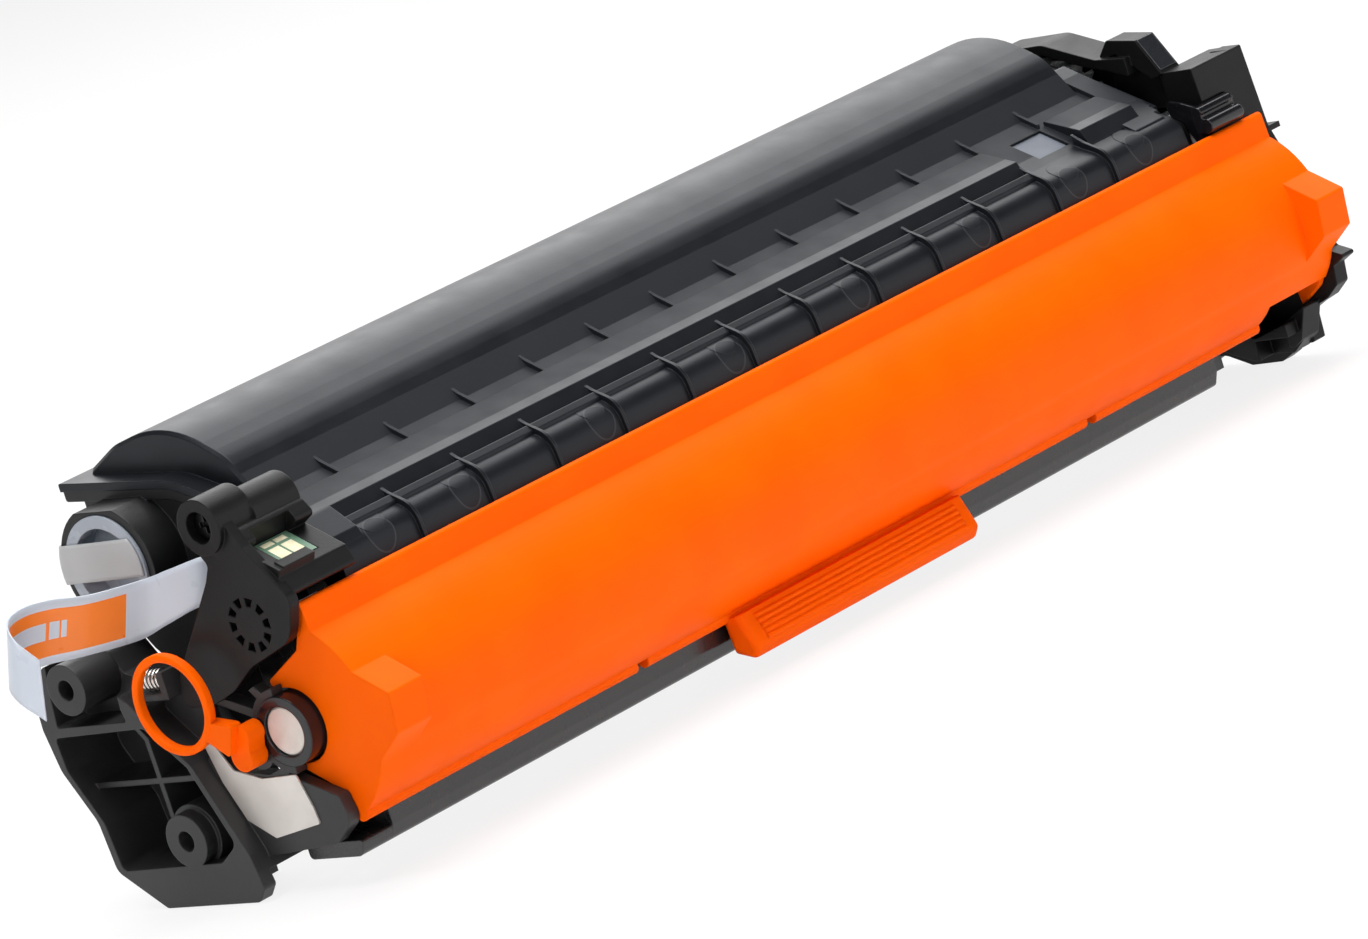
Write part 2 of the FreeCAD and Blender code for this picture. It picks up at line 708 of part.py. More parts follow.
# Bracket with a ribbed pocket, two guide bosses and the web
def near_side_frame():
    body = prism(bracket_face, bracket_depth, [
        (62.2, 11.6, 1.5), (62.5, 5.8, 3), (61.0, -2.8, 6), (55.3, -13.5, 6), (54.3, -23.9, 3),
        (43.3, foot_level, 1.5), (16.9, foot_level, 1.5), (14.6, -29.4, 1), (15.8, -22.6, 0),
        (24.0, -4.0, 3), (33.0, 5.6, 3), (36.0, 9.5, 2), (39.5, 12.0, 1), (43.6, 13.2, 1.5),
        (46.6, 17.8, 1.5), (57.0, 18.6, 2)])
    tail_room = block(bracket_face + tail_depth, bracket_depth, 14, 30,
                      foot_level - 1, foot_level + 5.5)
    pocket = prism(bracket_face - 1, pocket_depth + 1, [
        (59.8, 4.0, 1), (34.0, 4.4, 2), (25.4, -4.0, 2), (18.6, -20.2, 2), (24.0, -23.6, 1),
        (52.6, -23.9, 1.5), (53.6, -14.0, 5), (59.4, -2.8, 4)])
    shelf = prism(bracket_face - 1, upper_boss_length - 1.0, [
        (58.2, 6.0, 0.5), (57.4, 12.0, 2), (55.4, 22.0, 0), (37.4, 22.0, 0), (38.6, 8.6, 0.5),
        (38.0, 6.0, 0.5)])
    upper = rod(bracket_face - 2.0, upper_boss_length, upper_boss_y, upper_boss_z, upper_boss_radius)
    lower = rod(bracket_face - 0.6, bracket_depth + 0.6, lower_boss_y, lower_boss_z, guide_boss_radius)
    skirt = rod(bracket_face + 2.5, bracket_depth - 2.5, lower_boss_y, lower_boss_z,
                guide_boss_radius + 1.0)
    level_rib = block(bracket_face + 4, pocket_depth - 4, 20.5, 58.5, -8.1, -6.9)
    upright_rib = prism(bracket_face + 4, pocket_depth - 4, sharp(
        (42.6, 5.0), (39.4, 0.8), (38.8, -24.5), (37.6, -24.5), (38.2, 1.2), (41.2, 5.0)))
    bracket = body.cut([pocket, shelf, tail_room]).fuse([upper, lower, skirt])
    bracket = bracket.fuse([level_rib.common(pocket), upright_rib.common(pocket)])
    frame = joined(bracket, bush_web(), spring_seat())
    upper_bore = rod(bracket_face - 3, upper_boss_length + 1.0, upper_boss_y, upper_boss_z,
                     guide_bore_radius)
    lower_bore = rod(bracket_face - 3, bracket_depth + 6, lower_boss_y, lower_boss_z, guide_bore_radius)
    return frame.cut([upper_bore, lower_bore]).removeSplitter()


# Web beside the bush: a ring round it, thin arms, the plug's seat and a beam to the frame
def bush_web():
    web = prism(web_start, web_depth, [
        (24.0, -1.0, 2), (17.0, -7.0, 0), (2.6, -9.0, 0), (-8.6, -13.6, 1), (-9.8, -19.0, 3),
        (-4.0, -23.0, 2), (15.0, -24.4, 0), (18.0, -24.0, 0), (24.0, -10.0, 0)])
    window = prism(web_start - 1, web_depth + 2, [
        (19.0, -9.2, 0.6), (6.0, -11.4, 0.6), (1.0, -12.4, 0.6), (-1.0, -18.0, 0.6), (12.0, -20.0, 0.6),
        (16.6, -17.0, 0.6)])
    web = web.cut(window)
    ring = tube(web_start, web_depth, 0, 0, bush_radius + 1.6, bush_radius)
    front = block(web_start - 1, web_depth + 2, -12, 0.6, -12, 12)
    arms = [prism(arm_start, arm_depth, sharp((7, 3.4), (24, 9.4), (24, 7.6), (7.8, 1.6))),
            prism(web_start, web_depth, sharp((7.2, -2.0), (22, 0.6), (22, -1.0), (7.0, -3.8))),
            prism(web_start, web_depth, sharp((3.2, 7.6), (5.2, 9.3), (6.6, 8.7), (5.0, 6.8))),
            prism(arm_start, arm_depth, sharp((23, 10.6), (23, -2.0), (26.5, -3.4), (33.5, 4.0),
                                              (33.5, 9.0)))]
    saddle = prism(web_start, web_depth, sharp(
        (3.0, -6.6), (9.0, -8.6), (17.0, -7.2), (17.0, -8.8), (2.6, -10.2)))
    plug_seat = rod(web_start, web_depth, plug_y, plug_z, plug_radius + 1.6)
    beam = prism(web_start + 1.0, web_depth - 1.0, [
        (16.5, -21.5, 0.5), (8.5, -24.3, 1), (8.0, -23.2, 0), (13.0, -20.0, 0)])
    web = web.fuse([ring.cut(front), saddle, plug_seat, beam] + arms)
    return web.cut([rod(web_start - 1, web_depth + 2, 0, 0, bush_radius + 0.02),
                    rod(web_start - 1, web_depth + 2, plug_y, plug_z, plug_radius + running_gap)])


# Shelf, end wall and peg of the contact spring
def spring_seat():
    wall_end = spring_y - 0.2
    low = spring_z - spring_radius - spring_wire - 0.1
    reach = spring_radius + spring_wire + 0.4
    shelf = block(spring_x - reach, arm_start + arm_depth - spring_x + reach, wall_end - 1.6,
                  spring_y + spring_height + 0.8, low - 1.2, low)
    wall_plate = block(spring_x - reach, 2 * reach, wall_end - 1.6, wall_end, low - 1.0,
                       spring_z + spring_radius)
    peg = Part.makeCylinder(spring_radius - spring_wire - 0.25, 3.2,
                            V(spring_x, wall_end - 0.5, spring_z), V(0, 1, 0))
    return joined(shelf, wall_plate, peg)


# Pull ring and the plug it draws out
plug_y = 9.2
plug_z = -3.4
plug_radius = 2.2
plug_head = 4.3
plug_end = 2.8
ring_y = 21.1
ring_z = 9.2
ring_hole = 8.6
ring_band = 1.6


def pull_ring():
    face = bracket_face - 2.9
    thickness = 2.2
    ring = tube(face, thickness, ring_y, ring_z, ring_hole + ring_band, ring_hole)
    ring = ring.makeFillet(0.6, [e for e in ring.Edges if e.BoundBox.XLength < 0.01])
    link = prism(face + 0.4, 2.9, [
        (ring_y - 8.2, ring_z - 4.0, 0), (ring_y - 14.5, ring_z - 5.2, 0.8),
        (ring_y - 11.7, ring_z - 11.4, 0.8), (ring_y - 6.1, ring_z - 7.4, 0)])
    head_start = -body_gap - plug_head
    lobes = [rod(head_start, plug_head, plug_y - 2.2, plug_z + 4.6, 2.2),
             rod(head_start, plug_head, plug_y - 0.6, plug_z + 0.4, 2.8),
             prism(head_start, plug_head, sharp(
                 (plug_y - 4.2, plug_z + 4.2), (plug_y - 3.0, plug_z + 0.6),
                 (plug_y + 1.8, plug_z + 0.6), (plug_y - 0.2, plug_z + 5.0)))]
    stem = rod(-body_gap - 0.5, plug_end + body_gap + 0.5, plug_y, plug_z, plug_radius)
    return joined(ring, link, *(lobes + [stem]))


# Bright contact sheet, held against the web's outer face
def contact_plate():
    thickness = 0.4
    sheet = prism(0, thickness, [
        (23.4, -0.6, 0.5), (20.4, -1.6, 0.5), (17.4, -6.8, 0.5), (10.2, -8.8, 0.5), (0.8, -8.6, 0.5),
        (-1.2, -15.4, 0.5), (-1.6, -18.6, 0.5), (11.4, -20.8, 0.5), (17.8, -16.8, 0.5), (20.3, -11.2, 0.5),
        (21.3, -9.0, 0.5)])
    return sheet.cut(rod(-1, 3, plug_y, plug_z, plug_radius + 1.8))


# Coil spring on the frame's peg, its axis along Y
def contact_spring():
    helix = Part.makeHelix(spring_height / spring_turns, spring_height, spring_radius)
    section = Part.Wire(Part.makeCircle(spring_wire, V(spring_radius, 0, 0), V(0, 1, 0)))
    coil = Part.Wire(helix.Edges).makePipeShell([section], True, True)
    coil.rotate(V(0, 0, 0), ALONG, -90)
    coil.translate(V(spring_x, spring_y + spring_wire, spring_z))
    return coil


# White film: out along the end wall, then leaning over and curling outwards
tape_upper = [
    (11.7, 11.8, 33.6), (6.0, 15.5, 33.9), (5.4, 24.2, 32.4), (3.5, 30.0, 31.5), (-6.0, 34.5, 32.4),
    (-13.0, 37.2, 34.2), (-19.0, 38.5, 34.9), (-24.0, 38.0, 34.0), (-26.5, 35.0, 31.0), (-25.0, 31.5, 26.0)]
tape_lower = [
    (11.7, 13.6, 24.0), (6.0, 18.7, 24.4), (5.5, 28.1, 21.9), (3.6, 35.7, 19.8), (-6.0, 40.5, 20.6),
    (-13.0, 44.0, 21.6), (-19.0, 45.0, 21.9), (-24.0, 43.5, 21.2), (-26.5, 39.0, 18.5), (-25.0, 35.0, 14.0)]


def seal_tape():
    upper = Part.BSplineCurve()
    upper.interpolate([V(*point) for point in tape_upper])
    lower = Part.BSplineCurve()
    lower.interpolate([V(*point) for point in tape_lower])
    face = Part.makeRuledSurface(upper.toShape(), lower.toShape())
    return face.makeOffsetShape(0.3, 0.01, fill=True)


def foam_seal():
    length = 5.6
    return prism(frame_start - length, length, [
        (-4.4, 21.6, 0.6), (-7.8, 23.6, 0.6), (-8.2, 19.4, 0.6), (-5.0, 17.6, 0.6)])


# Metering blade below the roller
def blade_holder():
    start = hopper_start + 3
    length = hopper_length - 12
    return prism(start, length, [
        (blade_holder_back, ledge, 0), (-8.0, ledge, 1.2), (-8.0, -10.6, 0),
        (-8.0 + blade_holder_thickness, -10.6, 0),
        (-8.0 + blade_holder_thickness, ledge + blade_holder_thickness, 0.3),
        (blade_holder_back, ledge + blade_holder_thickness, 0)])


def doctor_blade():
    tip = sleeve_radius + blade_gap
    return prism(blade_start, blade_length, sharp(
        (-8.0, -15.4), (-8.0 - blade_thickness, -15.4), (-8.0 - blade_thickness, -5.0),
        (-tip, -4.6), (-8.0, -5.2)))


def blade_screws():
    screws = []
    for k in range(blade_screw_count):
        x = hopper_start + 30 + k * (hopper_length - 60) / (blade_screw_count - 1)
        top = ledge + blade_holder_thickness
        screws.append(Part.makeCylinder(1.9, 1.2, V(x, -1.6, top), V(0, 0, 1)))
    return Part.makeCompound(screws)


# Film that hangs from the frame's front rail to the top of the roller
def roller_seal_film():
    front = rail_front
    return prism(blade_start, blade_length, sharp(
        (front - 0.4, 17.0), (front, 17.0), (front, 12.0), (-5.7, 6.4), (-6.1, 6.2),
        (front - 0.4, 12.0)))


# Felt strips round the back of the sleeve's two ends
def end_felts():
    felts = []
    for x in (sleeve_start + 1.0, sleeve_end - 1.0 - felt_width):
        ring = tube(x, felt_width, 0, 0, 10.4, sleeve_radius + body_gap)
        felts.append(ring.cut(block(x - 1, felt_width + 2, -12, -1.0, -12, 12)))
    return Part.makeCompound(felts)


# Gears: involute flanks drawn through root, pitch and tip
def flank_angle(base, radius):
    ratio = max(radius / base, 1.0)
    return math.sqrt(ratio * ratio - 1) - math.acos(1 / ratio)


def gear(y, z, teeth, phase, bore):
    pitch = gear_module * teeth / 2
    base = pitch * math.cos(math.radians(20))
    root = pitch - 1.2 * gear_module
    tip = pitch + 0.95 * gear_module
    half_pitch = (math.pi * gear_module / 2 - gear_backlash) / 2 / pitch
    points = []
    for k in range(teeth):
        middle = phase + 2 * math.pi * k / teeth
        for side in (-1, 1):
            radii = (root, pitch, tip) if side < 0 else (tip, pitch, root)
            for radius in radii:
                turned = flank_angle(base, pitch) - flank_angle(base, radius)
                angle = middle + side * (half_pitch + turned)
                points.append((y + radius * math.cos(angle), z + radius * math.sin(angle)))
    body = prism(gear_start, gear_width, sharp(*points))
    return body.cut(rod(gear_start - 1, gear_width + 2, y, z, bore))


def mesh_phase(angle, teeth, phase, other_teeth):
    return angle + math.pi + math.pi / other_teeth - teeth / other_teeth * (phase - angle)


def gear_layout():
    reach = gear_module * (roller_teeth + idler_teeth) / 2
    turn = math.radians(idler_angle)
    idler = (reach * math.cos(turn), reach * math.sin(turn))
    near_reach = gear_module * (idler_teeth + drive_teeth) / 2
    far_reach = gear_module * (drive_teeth + agitator_teeth) / 2
    dy = agitator_y - idler[0]
    dz = agitator_z - idler[1]
    gap = math.hypot(dy, dz)
    along = (near_reach ** 2 - far_reach ** 2 + gap ** 2) / (2 * gap)
    aside = math.sqrt(near_reach ** 2 - along ** 2)
    drive = (idler[0] + (dy * along + dz * aside) / gap, idler[1] + (dz * along - dy * aside) / gap)
    roller_phase = 0.0
    idler_phase = mesh_phase(turn, roller_teeth, roller_phase, idler_teeth)
    to_drive = math.atan2(drive[1] - idler[1], drive[0] - idler[0])
    drive_phase = mesh_phase(to_drive, idler_teeth, idler_phase, drive_teeth)
    to_agitator = math.atan2(agitator_z - drive[1], agitator_y - drive[0])
    agitator_phase = mesh_phase(to_agitator, drive_teeth, drive_phase, agitator_teeth)
    return {"idler": (idler, idler_phase), "drive": (drive, drive_phase),
            "agitator": ((agitator_y, agitator_z), agitator_phase), "roller": ((0, 0), roller_phase)}


def hub_recess(y, z, outer, inner):
    return tube(gear_end - 1.6, 3.0, y, z, outer, inner)


def roller_gear():
    (y, z), phase = gear_layout()["roller"]
    wheel = gear(y, z, roller_teeth, phase, shaft_radius)
    key = block(gear_start, gear_width, -3, 3, shaft_radius - key_depth, shaft_radius + 0.5)
    return wheel.fuse(key).removeSplitter()


# The idler carries a plain disc on its near side
def idler_gear():
    (y, z), phase = gear_layout()["idler"]
    wheel = gear(y, z, idler_teeth, phase, gear_pin_radius + running_gap)
    wheel = wheel.cut(hub_recess(y, z, idler_teeth * gear_module / 2 - 2.6, 3.6))
    pin_boss = gear_pin_radius + 1.8
    disc = tube(bearing_face + 0.4, 0.9, y, z, disc_radius, pin_boss)
    neck = tube(bearing_face + 1.2, gear_start - bearing_face - 1.1, y, z, disc_radius - 3.3, pin_boss)
    return joined(wheel, disc, neck)


def drive_gear():
    (y, z), phase = gear_layout()["drive"]
    wheel = gear(y, z, drive_teeth, phase, gear_pin_radius + running_gap)
    start = gear_end - 0.5
    hub = tube(start, coupling_length, y, z, coupling_radius, gear_pin_radius + running_gap)
    cup = rod(start + coupling_length - 5.0, 6.0, y, z, coupling_radius - 1.6)
    keys = [prism(start + coupling_length - 5.4, 4.6, sharp(
        (y + 2.7 * math.cos(a - 0.3), z + 2.7 * math.sin(a - 0.3)),
        (y + 5.3 * math.cos(a - 0.16), z + 5.3 * math.sin(a - 0.16)),
        (y + 5.3 * math.cos(a + 0.16), z + 5.3 * math.sin(a + 0.16)),
        (y + 2.7 * math.cos(a + 0.3), z + 2.7 * math.sin(a + 0.3))))
        for a in (0.4, 0.4 + 2 * math.pi / 3, 0.4 + 4 * math.pi / 3)]
    return joined(wheel, hub.cut(cup), *keys)


def agitator_gear():
    (y, z), phase = gear_layout()["agitator"]
    wheel = gear(y, z, agitator_teeth, phase, agitator_journal)
    return wheel.cut(hub_recess(y, z, agitator_teeth * gear_module / 2 - 2.8, 4.6))


def bearing_plate():
    layout = gear_layout()
    plate = prism(hopper_end, bearing_thickness, [
        (tub_back, 47.4, 2), (knee[0], 45.7, 12), (16.5, 37.9, 3), (2.4, 30.0, 4), (-3.4, 26.8, 3),
        (-4.6, 14.0, 8), (-9.5, 6.0, 3), (-10.5, -10.0, 3), (-8.0, -17.0, 3), (6.0, -22.0, 4),
        (20.0, -16.0, 6), (40.0, 8.0, 6), (tub_back, 16.0, 6)])
    holes = [rod(hopper_end - 1, bearing_thickness + 2, 0, 0, shaft_radius + running_gap),
             rod(hopper_end - 1, bearing_thickness + 2, agitator_y, agitator_z,
                 agitator_journal + running_gap)]
    pins = []
    for name in ("idler", "drive"):
        y, z = layout[name][0]
        pins.append(rod(hopper_end + 1, gear_end - hopper_end - 0.6, y, z, gear_pin_radius))
        pins.append(rod(hopper_end + 1, gear_start - hopper_end - 1 - 0.3, y, z, gear_pin_radius + 1.4))
    return plate.cut(holes).fuse(pins).removeSplitter()


def agitator_shaft():
    start = hopper_start + wall + 0.2
    finish = hopper_end - wall - 0.3
    bar = rod(start + 2.6, finish - start - 2.6, agitator_y, agitator_z, agitator_radius)
    flat = block(start, finish - start, agitator_y - 9, agitator_y + 9,
                 agitator_z + agitator_radius - 0.9, agitator_z + agitator_radius + 1)
    stub = rod(start, 3.0, agitator_y, agitator_z, agitator_journal)
    end = rod(finish - 0.5, gear_end - finish + 0.5, agitator_y, agitator_z, agitator_journal)
    return joined(bar.cut(flat), stub, end)


# Film stirrer clamped on the shaft's flat, cut into broad fingers
def agitator_film():
    start = hopper_start + wall + 6
    length = hopper_length - 2 * wall - 14
    base = agitator_z + agitator_radius - 0.9
    film = Part.makeBox(length, film_reach + 2.0, film_thickness,
                        V(start, agitator_y - film_reach, base))
    cuts = []
    fingers = 6
    for k in range(1, fingers):
        x = start + k * length / fingers
        cuts.append(Part.makeBox(2.0, film_reach - 5, 2,
                                 V(x - 1, agitator_y - film_reach - 0.1, base - 1)))
    return film.cut(cuts)


# Drive end housing: a shroud over the gears with two raised blocks, and an end plate
shell_from = bearing_face + 0.1
shell_depth = 10.0
plate_from = cover_end + body_gap
block_front = -7.0
block_top = 38.0
guard_start = bearing_face - 1.4
guard_foot = 24.4
guard_top = 30.2


def gear_shroud():
    outer = prism(shell_from, shell_depth, [
        (8.2, 43.0, 0), (16.5, 43.7, 0), (20.0, 45.0, 2), (30.0, 48.8, 6), (44.0, 48.9, 6), (60.0, 45.4, 4),
        (60.0, 18.0, 8), (50.0, -6.0, 8), (46.0, foot_level, 3), (26.0, foot_level, 2),
        (19.0, -28.8, 3), (14.0, -27.0, 1), (12.4, -20.0, 4), (12.4, -14.0, 2), (8.2, -12.0, 1)])
    cavity = prism(shell_from - 1, gear_end + 1.0 - shell_from + 1, [
        (5.0, 38.0, 1), (14.0, 41.0, 2), (20.6, 42.8, 2), (30.6, 46.7, 6), (44.0, 46.8, 5), (57.8, 43.6, 2),
        (57.8, 18.5, 6), (47.8, -5.0, 6), (43.8, foot_level + 2.4, 1.5), (27.0, foot_level + 2.4, 1),
        (19.4, -26.6, 3), (16.0, -25.0, 1), (14.6, -20.0, 2), (14.6, -13.0, 1), (5.0, -11.6, 1)])
    return outer.cut(cavity)


# The upper block leans back over the gears, the lower one stands out over the guard
def raised_blocks():
    block_start = bearing_face + 2.5
    upper = prism(block_start - 0.5, 6.4, [
        (16.5, 43.7, 0.3), (13.4, 47.1, 0.4), (5.5, 46.1, 0.4), (0.8, block_top, 0), (3.8, 37.2, 0),
        (11.9, 43.8, 0), (15.1, 43.4, 0)])
    behind = prism(block_start + 2.0, 3.9, sharp(
        (16.5, 43.7), (12.0, 44.6), (5.5, 44.6), (0.8, block_top), (0.8, 28.0), (16.5, 30.0)))
    front = prism(block_start, drive_cap_face - block_start, [
        (block_front, block_top, 0.4), (1.8, block_top, 0), (1.8, 27.0, 0), (2.0, 19.7, 0),
        (block_front - 1.3, 19.7, 0.4)])
    front = front.cut(block(
        block_start - 1, guard_start + guard_length + body_gap - block_start + 1,
        block_front - 3, block_front + body_gap, guard_foot - body_gap, guard_top + body_gap))
    back_wall = prism(block_start + 4.0, plate_from - block_start - 3.0, sharp(
        (0.0, block_top), (3.0, 36.8), (10.0, 29.0), (8.4, 27.0), (0.0, 33.0)))
    return [upper, behind, front, back_wall]


def end_plate():
    plate = prism(plate_from, drive_cap_face - plate_from, [
        (block_front, block_top, 0.4), (-2.0, 38.2, 1), (8.0, 34.0, 4), (30.0, 26.0, 8), (44.0, 18.0, 8),
        (48.0, 0.0, 10), (46.0, foot_level, 3), (26.0, foot_level, 2), (19.0, -28.8, 4),
        (11.6, foot_level, 1), (3.1, foot_level, 0.4), (0.2, -30.7, 0.3), (-0.5, -28.9, 0.2),
        (-7.1, -28.6, 0.5), (-7.4, -22.0, 0.5), (-10.5, -20.6, 1), (-14.1, -19.3, 1), (-17.7, -16.6, 1),
        (-18.2, -12.4, 0.4), (-22.1, -10.5, 0.5), (-17.6, -8.7, 1), (-14.5, 0.0, 5), (-11.0, 12.0, 5),
        (-8.3, 19.7, 0)])
    lug = block(drive_cap_face - 0.5, 4.0, -8.6, -4.6, 18.2, 19.4)
    return plate.fuse(lug)


# Vertical plates below the cover's far end, and the walls that tie the end plate on
def housing_walls(drive_y, drive_z):
    wall_from = shell_from + shell_depth - 1.0
    length = plate_from - wall_from + 0.5
    foot_from = hopper_end + 9.5
    foot_length = plate_from - foot_from + 0.5
    lower = prism(foot_from, foot_length, [
        (-8.6, -21.3, 0.4), (-8.6, -26.4, 1), (-5.0, -29.1, 1), (2.1, -28.8, 2), (8.3, -26.6, 2),
        (13.5, -24.0, 0), (13.5, -20.0, 0), (0.3, -23.8, 3)])
    slot_room = block(foot_from - 1, 6.0, -10, 0.8, -30, -24.4)
    step = prism(foot_from + 4.0, foot_length - 4.0, [
        (-12.0, -18.6, 0.4), (-8.6, -26.4, 1), (-5.0, -28.4, 1), (-4.0, -22.6, 0), (-8.0, -20.6, 0)])
    walls = [block(wall_from, length, 9.4, 11.4, -14.0, 27.0),
             block(wall_from, length, 11.0, 44.0, -27.0, -25.0),
             prism(wall_from, length, sharp((42.0, -27.0), (44.0, -27.0), (46.4, 0.0), (44.4, 0.0))),
             tube(wall_from, length, drive_y, drive_z, coupling_radius + 3.2, coupling_radius + 1.0)]
    return [lower.cut(slot_room), step] + walls


def drive_end_cap():
    layout = gear_layout()
    drive_y, drive_z = layout["drive"][0]
    cap = gear_shroud().fuse(raised_blocks() + [end_plate()] + housing_walls(drive_y, drive_z))
    bore = rod(plate_from - 1, drive_cap_face - plate_from + 2, 0, 0, bush_radius + 0.02)
    opening = rod(gear_end, drive_cap_face - gear_end + 1, drive_y, drive_z, coupling_radius + 1.0)
    reliefs = []
    for name, radius in (("idler", disc_radius + 0.6), ("drive", drive_teeth / 2 + 1.8),
                         ("roller", roller_teeth / 2 + 1.8), ("agitator", agitator_teeth / 2 + 1.8)):
        y, z = layout[name][0]
        reliefs.append(rod(shell_from - 0.1, gear_end - shell_from + 0.8, y, z, radius))
    return cap.cut(reliefs + [bore, opening]).removeSplitter()


# Lobed glossy guard before the lower block, with a thin flange round the idler's disc
def coupling_cover():
    y, z = gear_layout()["idler"][0]
    start = guard_start
    lobes = [rod(start, guard_length, block_front - 1.0, 28.5, 1.8),
             rod(start, guard_length, block_front - 3.0, 25.9, 1.65)]
    core = prism(start, guard_length, sharp(
        (block_front, guard_foot), (block_front, guard_top), (block_front - 1.4, guard_top),
        (block_front - 3.9, guard_foot + 0.6), (block_front - 3.5, guard_foot)))
    groove = rod(start - 1, guard_length + 2, block_front - 3.2, 28.2, 0.8)
    flange = prism(shell_from, 1.0, [
        (1.0, 32.4, 1), (-3.4, 31.4, 3), (block_front - 1.0, 29.6, 1), (block_front - 1.4, 24.6, 1),
        (-5.6, 20.6, 0.5), (-2.0, 20.6, 0)])
    disc_room = rod(start - 1, guard_length + 2, y, z, disc_radius + 0.6)
    behind = block(start - 1, guard_length + 2, block_front, 3, 20, 40)
    bar = joined(core, *lobes).cut([groove, behind])
    return joined(bar, flange.cut(disc_room))


def write_all():
    nodes = {
        "hopper_lid": hopper_lid(),
        "hopper_tub": hopper_tub(),
        "fill_port_cap": fill_port_cap(),
        "cap_label": cap_label(),
        "seal_tape": seal_tape(),
        "pull_ring": pull_ring(),
        "contact_end_cap": contact_end_cap(),
        "end_cap_screw": screw(2.8 - screw_head, cap_boss_y, cap_boss_z, screw_length),
        "chip_board": chip_prism(chip_board, 0, 0),
        "chip_pads": chip_pads(),
        "near_side_frame": near_side_frame(),
        "contact_plate": contact_plate(),
        "contact_spring": contact_spring(),
        "roller_bush_near": bush(0, bush_length),
        "roller_bush_far": bush(gear_end + body_gap, far_bush_face - gear_end - body_gap),
        "roller_shaft": roller_shaft(),
        "roller_sleeve": roller_sleeve(),
        "roller_gear": roller_gear(),
        "developer_frame": developer_frame(),
        "blade_holder": blade_holder(),
        "doctor_blade": doctor_blade(),
        "blade_screws": blade_screws(),
        "roller_seal_film": roller_seal_film(),
        "end_felts": end_felts(),
        "foam_seal": foam_seal(),
        "vent_filter": vent_filter(),
        "agitator_shaft": agitator_shaft(),
        "agitator_film": agitator_film(),
        "agitator_gear": agitator_gear(),
        "idler_gear": idler_gear(),
        "drive_gear": drive_gear(),
        "bearing_plate": bearing_plate(),
        "drive_end_cap": drive_end_cap(),
        "coupling_cover": coupling_cover(),
        "protective_cover": protective_cover(),
    }
    for node, shape in nodes.items():
        save(node, shape)
        box = shape.BoundBox
        print(node, len(shape.Solids), shape.isValid(), round(shape.Volume, 1),
              [round(v, 1) for v in (box.XMin, box.XMax, box.YMin, box.YMax, box.ZMin, box.ZMax)])


write_all()
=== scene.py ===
import json
import math

import bmesh
import bpy
from mathutils import Matrix, Vector


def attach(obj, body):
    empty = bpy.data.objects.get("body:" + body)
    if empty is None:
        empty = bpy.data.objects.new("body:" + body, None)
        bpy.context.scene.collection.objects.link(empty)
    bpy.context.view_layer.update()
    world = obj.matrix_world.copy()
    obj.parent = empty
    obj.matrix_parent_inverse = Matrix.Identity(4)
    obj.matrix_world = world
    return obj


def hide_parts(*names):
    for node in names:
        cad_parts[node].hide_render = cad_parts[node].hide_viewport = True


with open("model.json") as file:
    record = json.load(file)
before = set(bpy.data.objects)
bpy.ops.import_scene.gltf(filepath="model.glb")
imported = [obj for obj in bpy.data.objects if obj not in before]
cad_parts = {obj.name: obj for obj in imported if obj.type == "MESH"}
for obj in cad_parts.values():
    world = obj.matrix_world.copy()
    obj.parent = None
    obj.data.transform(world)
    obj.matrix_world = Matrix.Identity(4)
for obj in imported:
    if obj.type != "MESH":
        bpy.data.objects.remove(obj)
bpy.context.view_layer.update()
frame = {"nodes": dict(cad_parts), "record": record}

nodes = frame["nodes"]
mm = 0.001


def startMaterial(name, colour, roughness, **sockets):
    material = bpy.data.materials.new(name)
    material.use_nodes = True
    tree = material.node_tree
    shader = tree.nodes["Principled BSDF"]
    shader.inputs["Base Color"].default_value = (*colour, 1)
    shader.inputs["Roughness"].default_value = roughness
    for socket, value in sockets.items():
        shader.inputs[socket.replace("_", " ")].default_value = value
    return material, tree, shader


def addNode(tree, kind, sockets=None, **settings):
    node = tree.nodes.new("ShaderNode" + kind)
    for key, value in settings.items():
        setattr(node, key, value)
    for key, value in (sockets or {}).items():
        node.inputs[key].default_value = value
    return node


# Noise scales of the patches in which a finish varies, and the noise values that they spread over
patches = {"plasticColour": 60, "plasticRoughness": 140, "metalRoughness": 500}
noiseValues = {"From Min": 0.3, "From Max": 0.7}
colourStops = (0.35, 0.68)
grainDistance = 0.0002
metalGrain = 900


def addNoise(tree, scale, detail=3.0):
    where = addNode(tree, "TexCoord")
    noise = addNode(tree, "TexNoise", {"Scale": scale, "Detail": detail})
    tree.links.new(where.outputs["Object"], noise.inputs["Vector"])
    return noise.outputs["Fac"]


# Fine surface texture over softened edges
def addRelief(tree, shader, scale, strength, edge):
    soft = addNode(tree, "Bevel", {"Radius": edge}, samples=8)
    bump = addNode(tree, "Bump", {"Strength": strength, "Distance": grainDistance})
    tree.links.new(addNoise(tree, scale, 4.0), bump.inputs["Height"])
    tree.links.new(soft.outputs["Normal"], bump.inputs["Normal"])
    tree.links.new(bump.outputs["Normal"], shader.inputs["Normal"])


def roughnessPatches(tree, scale, low, high):
    spread = addNode(tree, "MapRange", {**noiseValues, "To Min": low, "To Max": high})
    tree.links.new(addNoise(tree, scale), spread.inputs["Value"])
    return spread.outputs["Result"]


def varyRoughness(tree, shader, scale, low, high):
    tree.links.new(roughnessPatches(tree, scale, low, high), shader.inputs["Roughness"])


def colourPatches(tree, scale, detail, colours):
    ramp = addNode(tree, "ValToRGB")
    for stop, colour in zip(ramp.color_ramp.elements, colours):
        stop.color = (*colour, 1)
    tree.links.new(addNoise(tree, scale, detail), ramp.inputs["Fac"])
    return ramp


